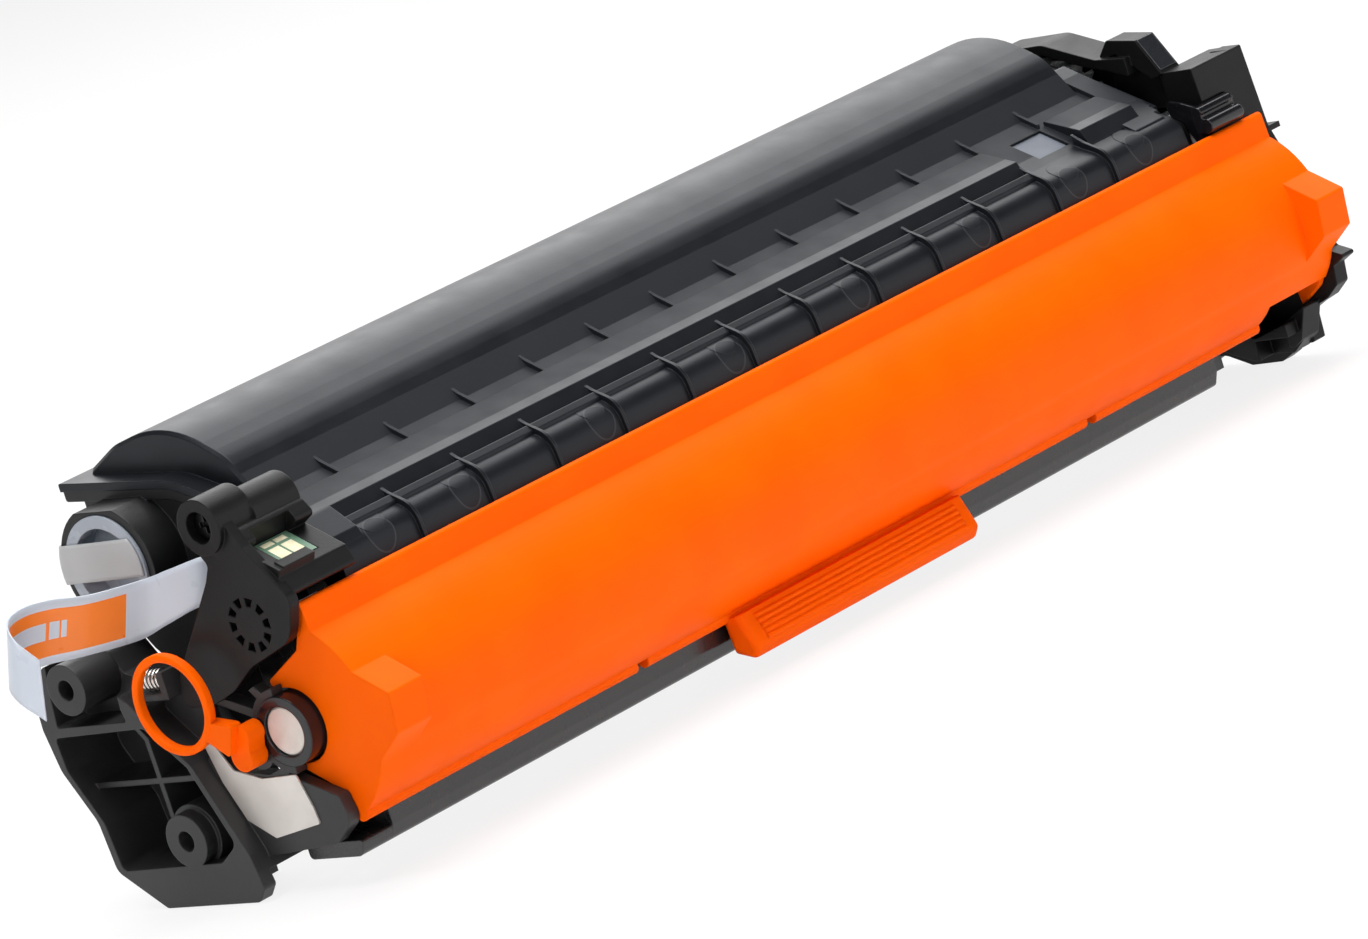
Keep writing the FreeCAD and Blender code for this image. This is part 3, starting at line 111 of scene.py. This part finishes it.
def varyColour(tree, shader, scale, colours):
    ramp = colourPatches(tree, scale, 2.0, colours)
    for stop, position in zip(ramp.color_ramp.elements, colourStops):
        stop.position = position
    tree.links.new(ramp.outputs["Color"], shader.inputs["Base Color"])


def mouldedPlastic(name, colours, roughness, grain, depth, edge, **sockets):
    material, tree, shader = startMaterial(name, colours[0], roughness[0], **sockets)
    varyColour(tree, shader, patches["plasticColour"], colours)
    varyRoughness(tree, shader, patches["plasticRoughness"], *roughness)
    addRelief(tree, shader, grain, depth, edge)
    return material


def bareMetal(name, colours, roughness, depth, edge, metal=1.0, colourScale=300):
    material, tree, shader = startMaterial(name, colours[0], roughness[0], Metallic=metal)
    varyColour(tree, shader, colourScale, colours)
    varyRoughness(tree, shader, patches["metalRoughness"], *roughness)
    addRelief(tree, shader, metalGrain, depth, edge)
    return material


# The lid's plastic, the satin floor of its valley and the round ejector marks on its front roll,
# in metres. The marks repeat by the pitch up to repeatsTo, and others gives the rest.
lidMarks = {
    "colours": [(0.006, 0.007, 0.009), (0.009, 0.010, 0.012)],
    "roughness": (0.32, 0.39),
    "specular": 0.30,
    "tint": (0.86, 0.91, 1.0, 1),
    "grain": 1800,
    "depth": 0.07,
    "edge": 0.0003,
    "first": 0.057,
    "pitch": 0.040,
    "repeatsTo": 0.237,
    "others": (0.0326, 0.250, 0.273),
    "middle": (-0.0060, 0.0273),  # y and z of the marks' middle line
    "slope": (0.785, 0.62),  # y and z of the way across the roll
    "radius": 0.0034,
    "line": 0.00016,
    "lineColour": (0.032, 0.033, 0.036, 1),
    "padDuller": 0.1,
    "valley": (0.0032, 0.0172),
    "satin": 0.22,
}


def linked(tree, operation, first, second):
    node = addNode(tree, "Math", operation=operation)
    for socket, value in zip(node.inputs, (first, second)):
        if isinstance(value, float):
            socket.default_value = value
        else:
            tree.links.new(value, socket)
    return node.outputs[0]


def within(tree, value, low, high):
    return linked(tree, "MULTIPLY", linked(tree, "GREATER_THAN", value, low),
                  linked(tree, "LESS_THAN", value, high))


def markDistance(tree, along, across):
    alongSquare = linked(tree, "MULTIPLY", along, along)
    return linked(tree, "POWER", linked(tree, "ADD", alongSquare, across), 0.5)


def markedLid():
    low, high = lidMarks["roughness"]
    material, tree, shader = startMaterial("lidMoulding", lidMarks["colours"][0], low,
                                           Specular_IOR_Level=lidMarks["specular"],
                                           Specular_Tint=lidMarks["tint"])
    where = addNode(tree, "TexCoord")
    split = addNode(tree, "SeparateXYZ")
    tree.links.new(where.outputs["Object"], split.inputs[0])
    x, y, z = split.outputs
    shares = [linked(tree, "MULTIPLY", linked(tree, "SUBTRACT", value, middle), slope)
              for value, middle, slope in zip((y, z), lidMarks["middle"], lidMarks["slope"])]
    slant = linked(tree, "ADD", *shares)
    across = linked(tree, "MULTIPLY", slant, slant)
    turn = linked(tree, "DIVIDE", linked(tree, "SUBTRACT", x, lidMarks["first"]), lidMarks["pitch"])
    nearest = linked(tree, "SUBTRACT", turn, linked(tree, "ROUND", turn, 0.0))
    distance = markDistance(tree, linked(tree, "MULTIPLY", nearest, lidMarks["pitch"]), across)
    beyond = linked(tree, "GREATER_THAN", x, lidMarks["repeatsTo"])
    distance = linked(tree, "ADD", distance, beyond)
    for place in lidMarks["others"]:
        other = markDistance(tree, linked(tree, "SUBTRACT", x, place), across)
        distance = linked(tree, "MINIMUM", distance, other)
    fromRing = linked(tree, "SUBTRACT", distance, lidMarks["radius"])
    line = linked(tree, "LESS_THAN", linked(tree, "ABSOLUTE", fromRing, 0.0), lidMarks["line"])
    inside = linked(tree, "LESS_THAN", distance, lidMarks["radius"])
    ramp = colourPatches(tree, patches["plasticColour"], 2.0, lidMarks["colours"])
    mix = addNode(tree, "Mix", data_type="RGBA")
    mix.inputs["B"].default_value = lidMarks["lineColour"]
    tree.links.new(line, mix.inputs["Factor"])
    tree.links.new(ramp.outputs["Color"], mix.inputs["A"])
    tree.links.new(mix.outputs["Result"], shader.inputs["Base Color"])
    rough = roughnessPatches(tree, patches["plasticRoughness"], low, high)
    inValley = within(tree, y, *lidMarks["valley"])
    duller = linked(tree, "ADD", rough, linked(tree, "MULTIPLY", inValley, lidMarks["satin"]))
    duller = linked(tree, "ADD", duller, linked(tree, "MULTIPLY", inside, lidMarks["padDuller"]))
    tree.links.new(duller, shader.inputs["Roughness"])
    addRelief(tree, shader, lidMarks["grain"], lidMarks["depth"], lidMarks["edge"])
    return material


# A plastic gives two colours, its range of roughness, the scale and depth of its grain and the
# radius of its edges. A metal leaves out the grain's scale, and may add its share of metal and the
# scale of its colour's patches.
finishes = {
    "blackMoulding": mouldedPlastic("blackMoulding", [(0.008, 0.008, 0.009), (0.012, 0.012, 0.013)],
                                    (0.38, 0.46), 2600, 0.18, 0.0004, Specular_IOR_Level=0.35),
    "lidMoulding": markedLid(),
    "endMoulding": mouldedPlastic("endMoulding", [(0.005, 0.005, 0.0055), (0.008, 0.008, 0.008)],
                                  (0.36, 0.44), 2400, 0.16, 0.0004, Specular_IOR_Level=0.22),
    "chinMoulding": mouldedPlastic("chinMoulding", [(0.012, 0.012, 0.013), (0.018, 0.018, 0.019)],
                                   (0.24, 0.32), 1500, 0.08, 0.0004, Specular_IOR_Level=0.7),
    "polishedPanel": mouldedPlastic("polishedPanel", [(0.020, 0.022, 0.026), (0.028, 0.030, 0.035)],
                                    (0.10, 0.16), 700, 0.02, 0.0003, Specular_IOR_Level=1.0),
    "bracketMoulding": mouldedPlastic("bracketMoulding",
                                      [(0.020, 0.020, 0.021), (0.027, 0.027, 0.028)],
                                      (0.40, 0.48), 2600, 0.2, 0.0004, Specular_IOR_Level=0.45),
    "glossBlack": mouldedPlastic("glossBlack", [(0.008, 0.008, 0.010), (0.012, 0.012, 0.014)],
                                 (0.14, 0.22), 1200, 0.04, 0.0005),
    "orangeMoulding": mouldedPlastic("orangeMoulding", [(0.98, 0.116, 0.0), (1.0, 0.128, 0.0004)],
                                     (0.42, 0.48), 2400, 0.08, 0.0005, Specular_IOR_Level=0.04),
    "greyCap": mouldedPlastic("greyCap", [(0.36, 0.40, 0.46), (0.42, 0.46, 0.52)],
                              (0.22, 0.30), 1500, 0.05, 0.0004),
    "ventMesh": mouldedPlastic("ventMesh", [(0.13, 0.145, 0.175), (0.18, 0.20, 0.235)],
                               (0.5, 0.6), 5000, 0.5, 0.0002),
    "bareLabel": mouldedPlastic("bareLabel", [(0.46, 0.47, 0.48), (0.52, 0.53, 0.54)],
                                (0.35, 0.45), 800, 0.03, 0.0001),
    "tapeFilm": mouldedPlastic("tapeFilm", [(0.80, 0.82, 0.84), (0.86, 0.87, 0.88)],
                               (0.18, 0.25), 400, 0.03, 0.0001),
    "boardGreen": mouldedPlastic("boardGreen", [(0.10, 0.20, 0.13), (0.14, 0.25, 0.17)],
                                 (0.25, 0.35), 2500, 0.05, 0.0001),
    "paleFoam": mouldedPlastic("paleFoam", [(0.72, 0.62, 0.66), (0.80, 0.72, 0.75)],
                               (0.85, 0.95), 3000, 0.8, 0.0002),
    "feltStrip": mouldedPlastic("feltStrip", [(0.05, 0.05, 0.052), (0.09, 0.09, 0.09)],
                                (0.9, 1.0), 3500, 0.9, 0.0002),
    "rollerRubber": mouldedPlastic("rollerRubber", [(0.012, 0.012, 0.013), (0.018, 0.018, 0.019)],
                                   (0.45, 0.55), 2200, 0.1, 0.0003),
    "bladeRubber": mouldedPlastic("bladeRubber", [(0.06, 0.05, 0.045), (0.08, 0.07, 0.06)],
                                  (0.4, 0.5), 2000, 0.05, 0.0001),
    "gearPlastic": mouldedPlastic("gearPlastic", [(0.66, 0.68, 0.69), (0.72, 0.73, 0.74)],
                                  (0.3, 0.4), 1800, 0.06, 0.0002),
    "turnedSteel": bareMetal("turnedSteel", [(0.70, 0.66, 0.61), (0.76, 0.72, 0.67)],
                             (0.50, 0.60), 0.03, 0.0004, 0.55, 400),
    "contactSheet": bareMetal("contactSheet", [(0.66, 0.62, 0.58), (0.76, 0.72, 0.68)],
                              (0.42, 0.54), 0.03, 0.0001, 0.6, 120),
    "springWire": bareMetal("springWire", [(0.80, 0.77, 0.72), (0.88, 0.85, 0.80)],
                            (0.20, 0.30), 0.02, 0.0001),
    "darkScrew": bareMetal("darkScrew", [(0.04, 0.04, 0.042), (0.06, 0.06, 0.062)],
                           (0.3, 0.4), 0.05, 0.0002),
    "giltPads": bareMetal("giltPads", [(0.74, 0.68, 0.46), (0.82, 0.77, 0.56)],
                          (0.45, 0.55), 0.01, 0.0001, 0.3, 900),
}
print("materials made:", len(finishes))


# The pull tape's film carries an orange field with white bars, read from its own UV map. The white
# film and its bars are coloured a darker grey-blue, which is painted shade.
tapeLook = {
    "field": (27.0, 53.6),
    "fieldEdges": (0.14, 0.87),
    "bars": [(39.0, 40.1), (40.5, 42.6), (43.4, 90.0)],
    "barEdges": (0.34, 0.61),
    "orange": (1.0, 0.235, 0.026),
    # a white film given a darker grey-blue colour as painted shade
    "film": [(0.55, 0.60, 0.69), (0.66, 0.70, 0.77)],
    "filmPatches": 25,
    "roughness": (0.27, 0.31),
    "roughnessPatches": 200,
    "grain": 900,
    "depth": 0.01,
    "edge": 0.0001,
}


def printedTape():
    material, tree, shader = startMaterial("printedTape", tapeLook["film"][0],
                                           tapeLook["roughness"][0])
    uv = addNode(tree, "UVMap", uv_map="tapeMap")
    split = addNode(tree, "SeparateXYZ")
    tree.links.new(uv.outputs["UV"], split.inputs[0])
    along, across = split.outputs[0], split.outputs[1]
    field = linked(tree, "MULTIPLY", within(tree, along, *tapeLook["field"]),
                   within(tree, across, *tapeLook["fieldEdges"]))
    bars = [within(tree, along, *bar) for bar in tapeLook["bars"]]
    anyBar = linked(tree, "MAXIMUM", linked(tree, "MAXIMUM", bars[0], bars[1]), bars[2])
    barMask = linked(tree, "MULTIPLY", anyBar, within(tree, across, *tapeLook["barEdges"]))
    ink = linked(tree, "SUBTRACT", field, barMask)
    # the film's grey-blue colour, which also fills the white bars, is painted shade on a white film
    film = colourPatches(tree, tapeLook["filmPatches"], 1.0, tapeLook["film"])
    mix = addNode(tree, "Mix", data_type="RGBA")
    mix.inputs["B"].default_value = (*tapeLook["orange"], 1)
    tree.links.new(ink, mix.inputs["Factor"])
    tree.links.new(film.outputs["Color"], mix.inputs["A"])
    tree.links.new(mix.outputs["Result"], shader.inputs["Base Color"])
    varyRoughness(tree, shader, tapeLook["roughnessPatches"], *tapeLook["roughness"])
    addRelief(tree, shader, tapeLook["grain"], tapeLook["depth"], tapeLook["edge"])
    return material


nodeFinish = {
    "blackMoulding": ["hopper_tub"],
    "chinMoulding": ["developer_frame"],
    "endMoulding": ["contact_end_cap", "bearing_plate", "drive_end_cap"],
    "bracketMoulding": ["near_side_frame"],
    "lidMoulding": ["hopper_lid"],
    "glossBlack": ["roller_bush_near", "roller_bush_far", "coupling_cover"],
    "orangeMoulding": ["protective_cover", "pull_ring"],
    "greyCap": ["fill_port_cap"],
    "ventMesh": ["vent_filter"],
    "bareLabel": ["cap_label"],
    "tapeFilm": ["roller_seal_film", "agitator_film"],
    "boardGreen": ["chip_board"],
    "giltPads": ["chip_pads"],
    "darkScrew": ["end_cap_screw"],
    "contactSheet": ["contact_plate", "blade_holder"],
    "springWire": ["contact_spring", "blade_screws"],
    "turnedSteel": ["roller_shaft"],
    "rollerRubber": ["roller_sleeve"],
    "bladeRubber": ["doctor_blade"],
    "feltStrip": ["end_felts"],
    "paleFoam": ["foam_seal"],
    "gearPlastic": ["roller_gear", "idler_gear", "drive_gear", "agitator_gear", "agitator_shaft"],
}
for finish, names in nodeFinish.items():
    for name in names:
        nodes[name].data.materials.clear()
        nodes[name].data.materials.append(finishes[finish])


def newPiece(name, mesh, material):
    data = bpy.data.meshes.new(name)
    mesh.to_mesh(data)
    mesh.free()
    data.materials.append(material)
    piece = bpy.data.objects.new(name, data)
    bpy.context.scene.collection.objects.link(piece)
    return piece


def bodyOf(node):
    for body, names in frame["record"]["behaviour"]["bodies"].items():
        if node in names:
            return body


# Pull tape: a strip laid between two rails, in millimetres
tape = {
    "upper": [(11.7, 11.8, 33.6), (6.0, 15.5, 33.9), (5.4, 24.2, 32.4), (3.5, 30.0, 31.5),
              (-6.0, 34.5, 32.4), (-13.0, 37.2, 34.2), (-19.0, 38.5, 34.9), (-24.0, 38.0, 34.0),
              (-26.5, 35.0, 31.0), (-25.0, 31.5, 26.0)],
    "lower": [(11.7, 13.6, 24.0), (6.0, 18.7, 24.4), (5.5, 28.1, 21.9), (3.6, 35.7, 19.8),
              (-6.0, 40.5, 20.6), (-13.0, 44.0, 21.6), (-19.0, 45.0, 21.9), (-24.0, 43.5, 21.2),
              (-26.5, 39.0, 18.5), (-25.0, 35.0, 14.0)],
    "stepsAlong": 90,
    "stepsAcross": 8,
    "measures": 400,  # steps in which its length is measured for the print
    "thickness": 0.28,
}


def railPoint(rail, share):
    place = share * (len(rail) - 1)
    k = min(int(place), len(rail) - 2)
    t = place - k
    here, after = Vector(rail[k]), Vector(rail[k + 1])
    before = Vector(rail[k - 1]) if k else 2 * here - after
    beyond = Vector(rail[k + 2]) if k + 2 < len(rail) else 2 * after - here
    return 0.5 * (2 * here + (after - before) * t
                  + (2 * before - 5 * here + 4 * after - beyond) * t * t
                  + (3 * here - before - 3 * after + beyond) * t ** 3)


def makeTape():
    mesh = bmesh.new()
    mapping = mesh.loops.layers.uv.new("tapeMap")
    bmesh.ops.create_grid(mesh, x_segments=tape["stepsAlong"], y_segments=tape["stepsAcross"],
                          size=0.5)
    steps = tape["measures"]
    travel = [0.0]
    for k in range(steps):
        middles = [(railPoint(tape["upper"], j / steps) + railPoint(tape["lower"], j / steps)) / 2
                   for j in (k, k + 1)]
        travel.append(travel[-1] + (middles[1] - middles[0]).length)
    for face in mesh.faces:
        for loop in face.loops:
            share = loop.vert.co.x + 0.5
            loop[mapping].uv = (travel[round(share * steps)], 0.5 - loop.vert.co.y)
    for vert in mesh.verts:
        share, across = vert.co.x + 0.5, 0.5 - vert.co.y
        vert.co = railPoint(tape["upper"], share).lerp(railPoint(tape["lower"], share), across) * mm
    for face in mesh.faces:
        face.smooth = True
    bmesh.ops.recalc_face_normals(mesh, faces=mesh.faces)
    piece = newPiece("printedPullTape", mesh, printedTape())
    wall = piece.modifiers.new("film", "SOLIDIFY")
    wall.thickness = tape["thickness"] * mm
    wall.offset = 0
    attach(piece, bodyOf("seal_tape"))
    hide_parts("seal_tape")


makeTape()
print("pull tape made")


# Bare band across the cap, wrapped over the port's mouth on its left, in millimetres
band = {
    "centre": (46.6, 32.4),
    "faceX": 10.12,
    "low": 30.4,
    "high": 38.2,
    "rightRadius": 10.4,
    "mouthRadius": 12.95,
    "wrapDepth": 3.4,
    "turn": 0.8,
    "thickness": 0.16,
    "steps": (40, 10),
}


def makeBand():
    mesh = bmesh.new()
    stepsAcross, stepsUp = band["steps"]
    bmesh.ops.create_grid(mesh, x_segments=stepsAcross, y_segments=stepsUp, size=0.5)
    y0, z0 = band["centre"]
    for vert in mesh.verts:
        share, rise = vert.co.x + 0.5, vert.co.y + 0.5
        z = band["low"] + rise * (band["high"] - band["low"])
        start = y0 - math.sqrt(band["rightRadius"] ** 2 - (z - z0) ** 2)
        finish = y0 + math.sqrt(band["mouthRadius"] ** 2 - (z - z0) ** 2)
        flat = finish - band["turn"] - start
        bend = band["turn"] * math.pi / 2
        travel = share * (flat + bend + band["wrapDepth"])
        if travel < flat:
            x, y = band["faceX"], start + travel
        elif travel < flat + bend:
            angle = (travel - flat) / band["turn"]
            x = band["faceX"] + band["turn"] * (1 - math.cos(angle))
            y = finish - band["turn"] + band["turn"] * math.sin(angle)
        else:
            x, y = band["faceX"] + band["turn"] + travel - flat - bend, finish
        vert.co = Vector((x, y, z)) * mm
    for face in mesh.faces:
        face.smooth = True
    bmesh.ops.recalc_face_normals(mesh, faces=mesh.faces)
    piece = newPiece("capBand", mesh, finishes["bareLabel"])
    paper = piece.modifiers.new("paper", "SOLIDIFY")
    paper.thickness = band["thickness"] * mm
    paper.offset = 0
    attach(piece, bodyOf("cap_label"))
    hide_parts("cap_label")


makeBand()


# Straight mouldings with one section, in millimetres: a gusset that closes the corner between the
# roller's frame, the tank and the web, and the ridge that crosses the roof's ribs
mouldings = {
    "cornerGusset": {"x": (12.2, 14.0), "edge": 0.3, "finish": "endMoulding",
                     "node": "developer_frame",
                     "section": [(14.2, 12.6), (14.2, -4.0), (19.0, -5.0), (27.0, 0.0),
                                 (31.5, 12.6)]},
    "roofRidge": {"x": (28.4, 242.0), "edge": 0.12, "finish": "lidMoulding", "node": "hopper_lid",
                  "section": [(-3.6, 30.2), (-3.6, 31.3), (-2.3, 32.5), (-2.3, 30.6)]},
}


def makeMoulding(name, facts):
    mesh = bmesh.new()
    low, high = facts["x"]
    face = mesh.faces.new([mesh.verts.new((low, y, z)) for y, z in facts["section"]])
    grown = bmesh.ops.extrude_face_region(mesh, geom=[face])
    moved = [part for part in grown["geom"] if isinstance(part, bmesh.types.BMVert)]
    bmesh.ops.translate(mesh, verts=moved, vec=(high - low, 0, 0))
    bmesh.ops.recalc_face_normals(mesh, faces=mesh.faces)
    bmesh.ops.bevel(mesh, geom=mesh.edges[:], offset=facts["edge"], offset_type="OFFSET",
                    segments=2, profile=0.5, affect="EDGES", material=-1)
    bmesh.ops.scale(mesh, vec=(mm, mm, mm), verts=mesh.verts)
    piece = newPiece(name, mesh, finishes[facts["finish"]])
    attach(piece, bodyOf(facts["node"]))


for name, facts in mouldings.items():
    makeMoulding(name, facts)


# Polished panel on the sloped face of the upper far block, in millimetres
panel = {
    "x": (295.5, 300.9),
    "top": (5.35, 46.05),
    "foot": (1.15, 38.75),
    "thickness": 0.3,
    "edge": 0.12,
}


def makePanel():
    mesh = bmesh.new()
    bmesh.ops.create_cube(mesh, size=1)
    top, foot = Vector((0, *panel["top"])), Vector((0, *panel["foot"]))
    slope = top - foot
    width = panel["x"][1] - panel["x"][0]
    bmesh.ops.scale(mesh, vec=(width, slope.length, panel["thickness"]), verts=mesh.verts)
    bmesh.ops.bevel(mesh, geom=mesh.edges[:], offset=panel["edge"], offset_type="OFFSET",
                    segments=3, profile=0.5, affect="EDGES", material=-1)
    bmesh.ops.rotate(mesh, cent=(0, 0, 0), verts=mesh.verts,
                     matrix=Matrix.Rotation(math.atan2(slope.z, slope.y), 3, "X"))
    middle = (top + foot) / 2
    middle.x = sum(panel["x"]) / 2
    bmesh.ops.translate(mesh, verts=mesh.verts, vec=middle)
    bmesh.ops.scale(mesh, vec=(mm, mm, mm), verts=mesh.verts)
    piece = newPiece("slopePanel", mesh, finishes["polishedPanel"])
    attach(piece, bodyOf("drive_end_cap"))


makePanel()
print("cap band, mouldings and slope panel made")


# Copies of moulded nodes with their triangles joined, smooth curves and rounded-over edges
softened = {
    "protective_cover": {"piece": "orangeCover", "width": 0.8, "slot": "orange_plastic"},
    "pull_ring": {"piece": "orangeRing", "width": 0.45, "slot": "orange_plastic"},
}
softening = {
    "merge": 0.000002,
    "flat": math.radians(1.0),
    "crease": math.radians(28),
    "segments": 3,
}


def softenNode(node, facts):
    mesh = bmesh.new()
    mesh.from_mesh(nodes[node].data)
    bmesh.ops.remove_doubles(mesh, verts=mesh.verts, dist=softening["merge"])
    bmesh.ops.dissolve_limit(mesh, angle_limit=softening["flat"], verts=mesh.verts,
                             edges=mesh.edges)
    for edge in mesh.edges:
        edge.smooth = edge.calc_face_angle(math.pi) < softening["crease"]
    for face in mesh.faces:
        face.smooth = True
    piece = newPiece(facts["piece"], mesh, nodes[node].data.materials[0])
    rounding = piece.modifiers.new("rounding", "BEVEL")
    rounding.width = facts["width"] * mm
    rounding.segments = softening["segments"]
    rounding.limit_method = "ANGLE"
    rounding.angle_limit = softening["crease"]
    rounding.use_clamp_overlap = True
    rounding.harden_normals = True
    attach(piece, bodyOf(node))
    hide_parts(node)


for node, facts in softened.items():
    softenNode(node, facts)
print("softened pieces:", len(softened))


# The floor is white to the camera and in reflections, and shadowShare lets the object's shadow
# through. The room is a faint light that falls off upwards. Its white is seen past the floor and,
# in reflections, near the horizon only.
stage = {
    "floorLevel": -0.0322,
    "floorSize": 12.0,
    "floorColour": (0.9, 0.9, 0.9),
    "floorRoughness": 0.7,
    "shadowShare": 0.16,
    "horizon": 0.03,
    "zenith": 0.012,
    "fade": (0.15, 0.45),  # z of the directions between which it falls off
}


def makeFloor():
    mesh = bmesh.new()
    bmesh.ops.create_grid(mesh, x_segments=1, y_segments=1, size=stage["floorSize"] / 2)
    bmesh.ops.translate(mesh, verts=mesh.verts, vec=(0, 0, stage["floorLevel"]))
    data = bpy.data.meshes.new("floor")
    mesh.to_mesh(data)
    mesh.free()
    floor = bpy.data.objects.new("floor", data)
    bpy.context.scene.collection.objects.link(floor)
    material, tree, shader = startMaterial("floorPaper", stage["floorColour"],
                                           stage["floorRoughness"])
    white = addNode(tree, "Emission", {"Color": (1, 1, 1, 1), "Strength": 1.0})
    mix = addNode(tree, "MixShader")
    path = addNode(tree, "LightPath")
    seen = linked(tree, "MAXIMUM", path.outputs["Is Camera Ray"], path.outputs["Is Glossy Ray"])
    seen = linked(tree, "MAXIMUM", seen, path.outputs["Is Transmission Ray"])
    tree.links.new(linked(tree, "MULTIPLY", seen, 1 - stage["shadowShare"]), mix.inputs["Fac"])
    tree.links.new(shader.outputs["BSDF"], mix.inputs[1])
    tree.links.new(white.outputs["Emission"], mix.inputs[2])
    tree.links.new(mix.outputs["Shader"], tree.nodes["Material Output"].inputs["Surface"])
    data.materials.append(material)


lamps = {
    "topSoftbox": {"place": (0.1, -0.1, 1.4), "aim": (0.15, 0.0, 0.0), "size": (1.5, 0.7),
                   "power": 27},
    "frontSoftbox": {"place": (0.3, -1.7, 0.7), "aim": (0.15, 0.0, 0.0), "size": (1.4, 0.9),
                     "power": 8},
    "backSoftbox": {"place": (0.98, 0.72, 0.92), "aim": (0.12, 0.03, 0.04), "size": (1.7, 1.1),
                    "power": 16},
    "leftSoftbox": {"place": (-1.4, -0.45, 0.6), "aim": (0.0, 0.0, 0.0), "size": (0.8, 0.8),
                    "power": 7},
}


def makeLamps():
    for name, facts in lamps.items():
        data = bpy.data.lights.new(name, "AREA")
        data.shape = "RECTANGLE"
        data.size, data.size_y = facts["size"]
        data.energy = facts["power"]
        lamp = bpy.data.objects.new(name, data)
        bpy.context.scene.collection.objects.link(lamp)
        lamp.location = facts["place"]
        toward = Vector(facts["aim"]) - Vector(facts["place"])
        lamp.rotation_euler = toward.to_track_quat("-Z", "Y").to_euler()


def fadeUpwards(tree, height, low, high):
    start, end = stage["fade"]
    values = {"From Min": start, "From Max": end, "To Min": low, "To Max": high}
    fade = addNode(tree, "MapRange", values, interpolation_type="SMOOTHSTEP")
    tree.links.new(height, fade.inputs["Value"])
    return fade.outputs["Result"]


def makeRoom():
    world = bpy.data.worlds.new("paleRoom")
    world.use_nodes = True
    tree = world.node_tree
    where = addNode(tree, "TexCoord")
    split = addNode(tree, "SeparateXYZ")
    path = addNode(tree, "LightPath")
    tree.links.new(where.outputs["Generated"], split.inputs[0])
    height = split.outputs["Z"]
    mirrored = linked(tree, "MAXIMUM", path.outputs["Is Glossy Ray"],
                      path.outputs["Is Transmission Ray"])
    mirroredWhite = linked(tree, "MULTIPLY", mirrored, fadeUpwards(tree, height, 1.0, 0.0))
    seenWhite = linked(tree, "MAXIMUM", path.outputs["Is Camera Ray"], mirroredWhite)
    faint = fadeUpwards(tree, height, stage["horizon"], stage["zenith"])
    background = tree.nodes["Background"]
    background.inputs["Color"].default_value = (1, 1, 1, 1)
    tree.links.new(linked(tree, "MAXIMUM", seenWhite, faint), background.inputs["Strength"])
    bpy.context.scene.world = world


camera = {
    "place": (-0.90935, -1.04009, 0.28226),
    "right": (0.64028, -0.710885, -0.291005),
    "down": (-0.333423, 0.084086, -0.93902),
    "forward": (0.692005, 0.698264, -0.183186),
    "lens": 197.3,
    "sensor": 36,
    "reach": 30,
}


def makeCamera():
    data = bpy.data.cameras.new("camera")
    data.lens = camera["lens"]
    data.sensor_width = camera["sensor"]
    data.clip_end = camera["reach"]
    seer = bpy.data.objects.new("camera", data)
    bpy.context.scene.collection.objects.link(seer)
    axes = Matrix((camera["right"], [-v for v in camera["down"]], [-v for v in camera["forward"]]))
    turn = axes.transposed().to_4x4()
    seer.matrix_world = Matrix.Translation(camera["place"]) @ turn
    bpy.context.scene.camera = seer


makeFloor()
makeLamps()
makeRoom()
makeCamera()
bpy.context.scene.view_settings.view_transform = "Standard"
print("stage, lamps, room and camera placed")
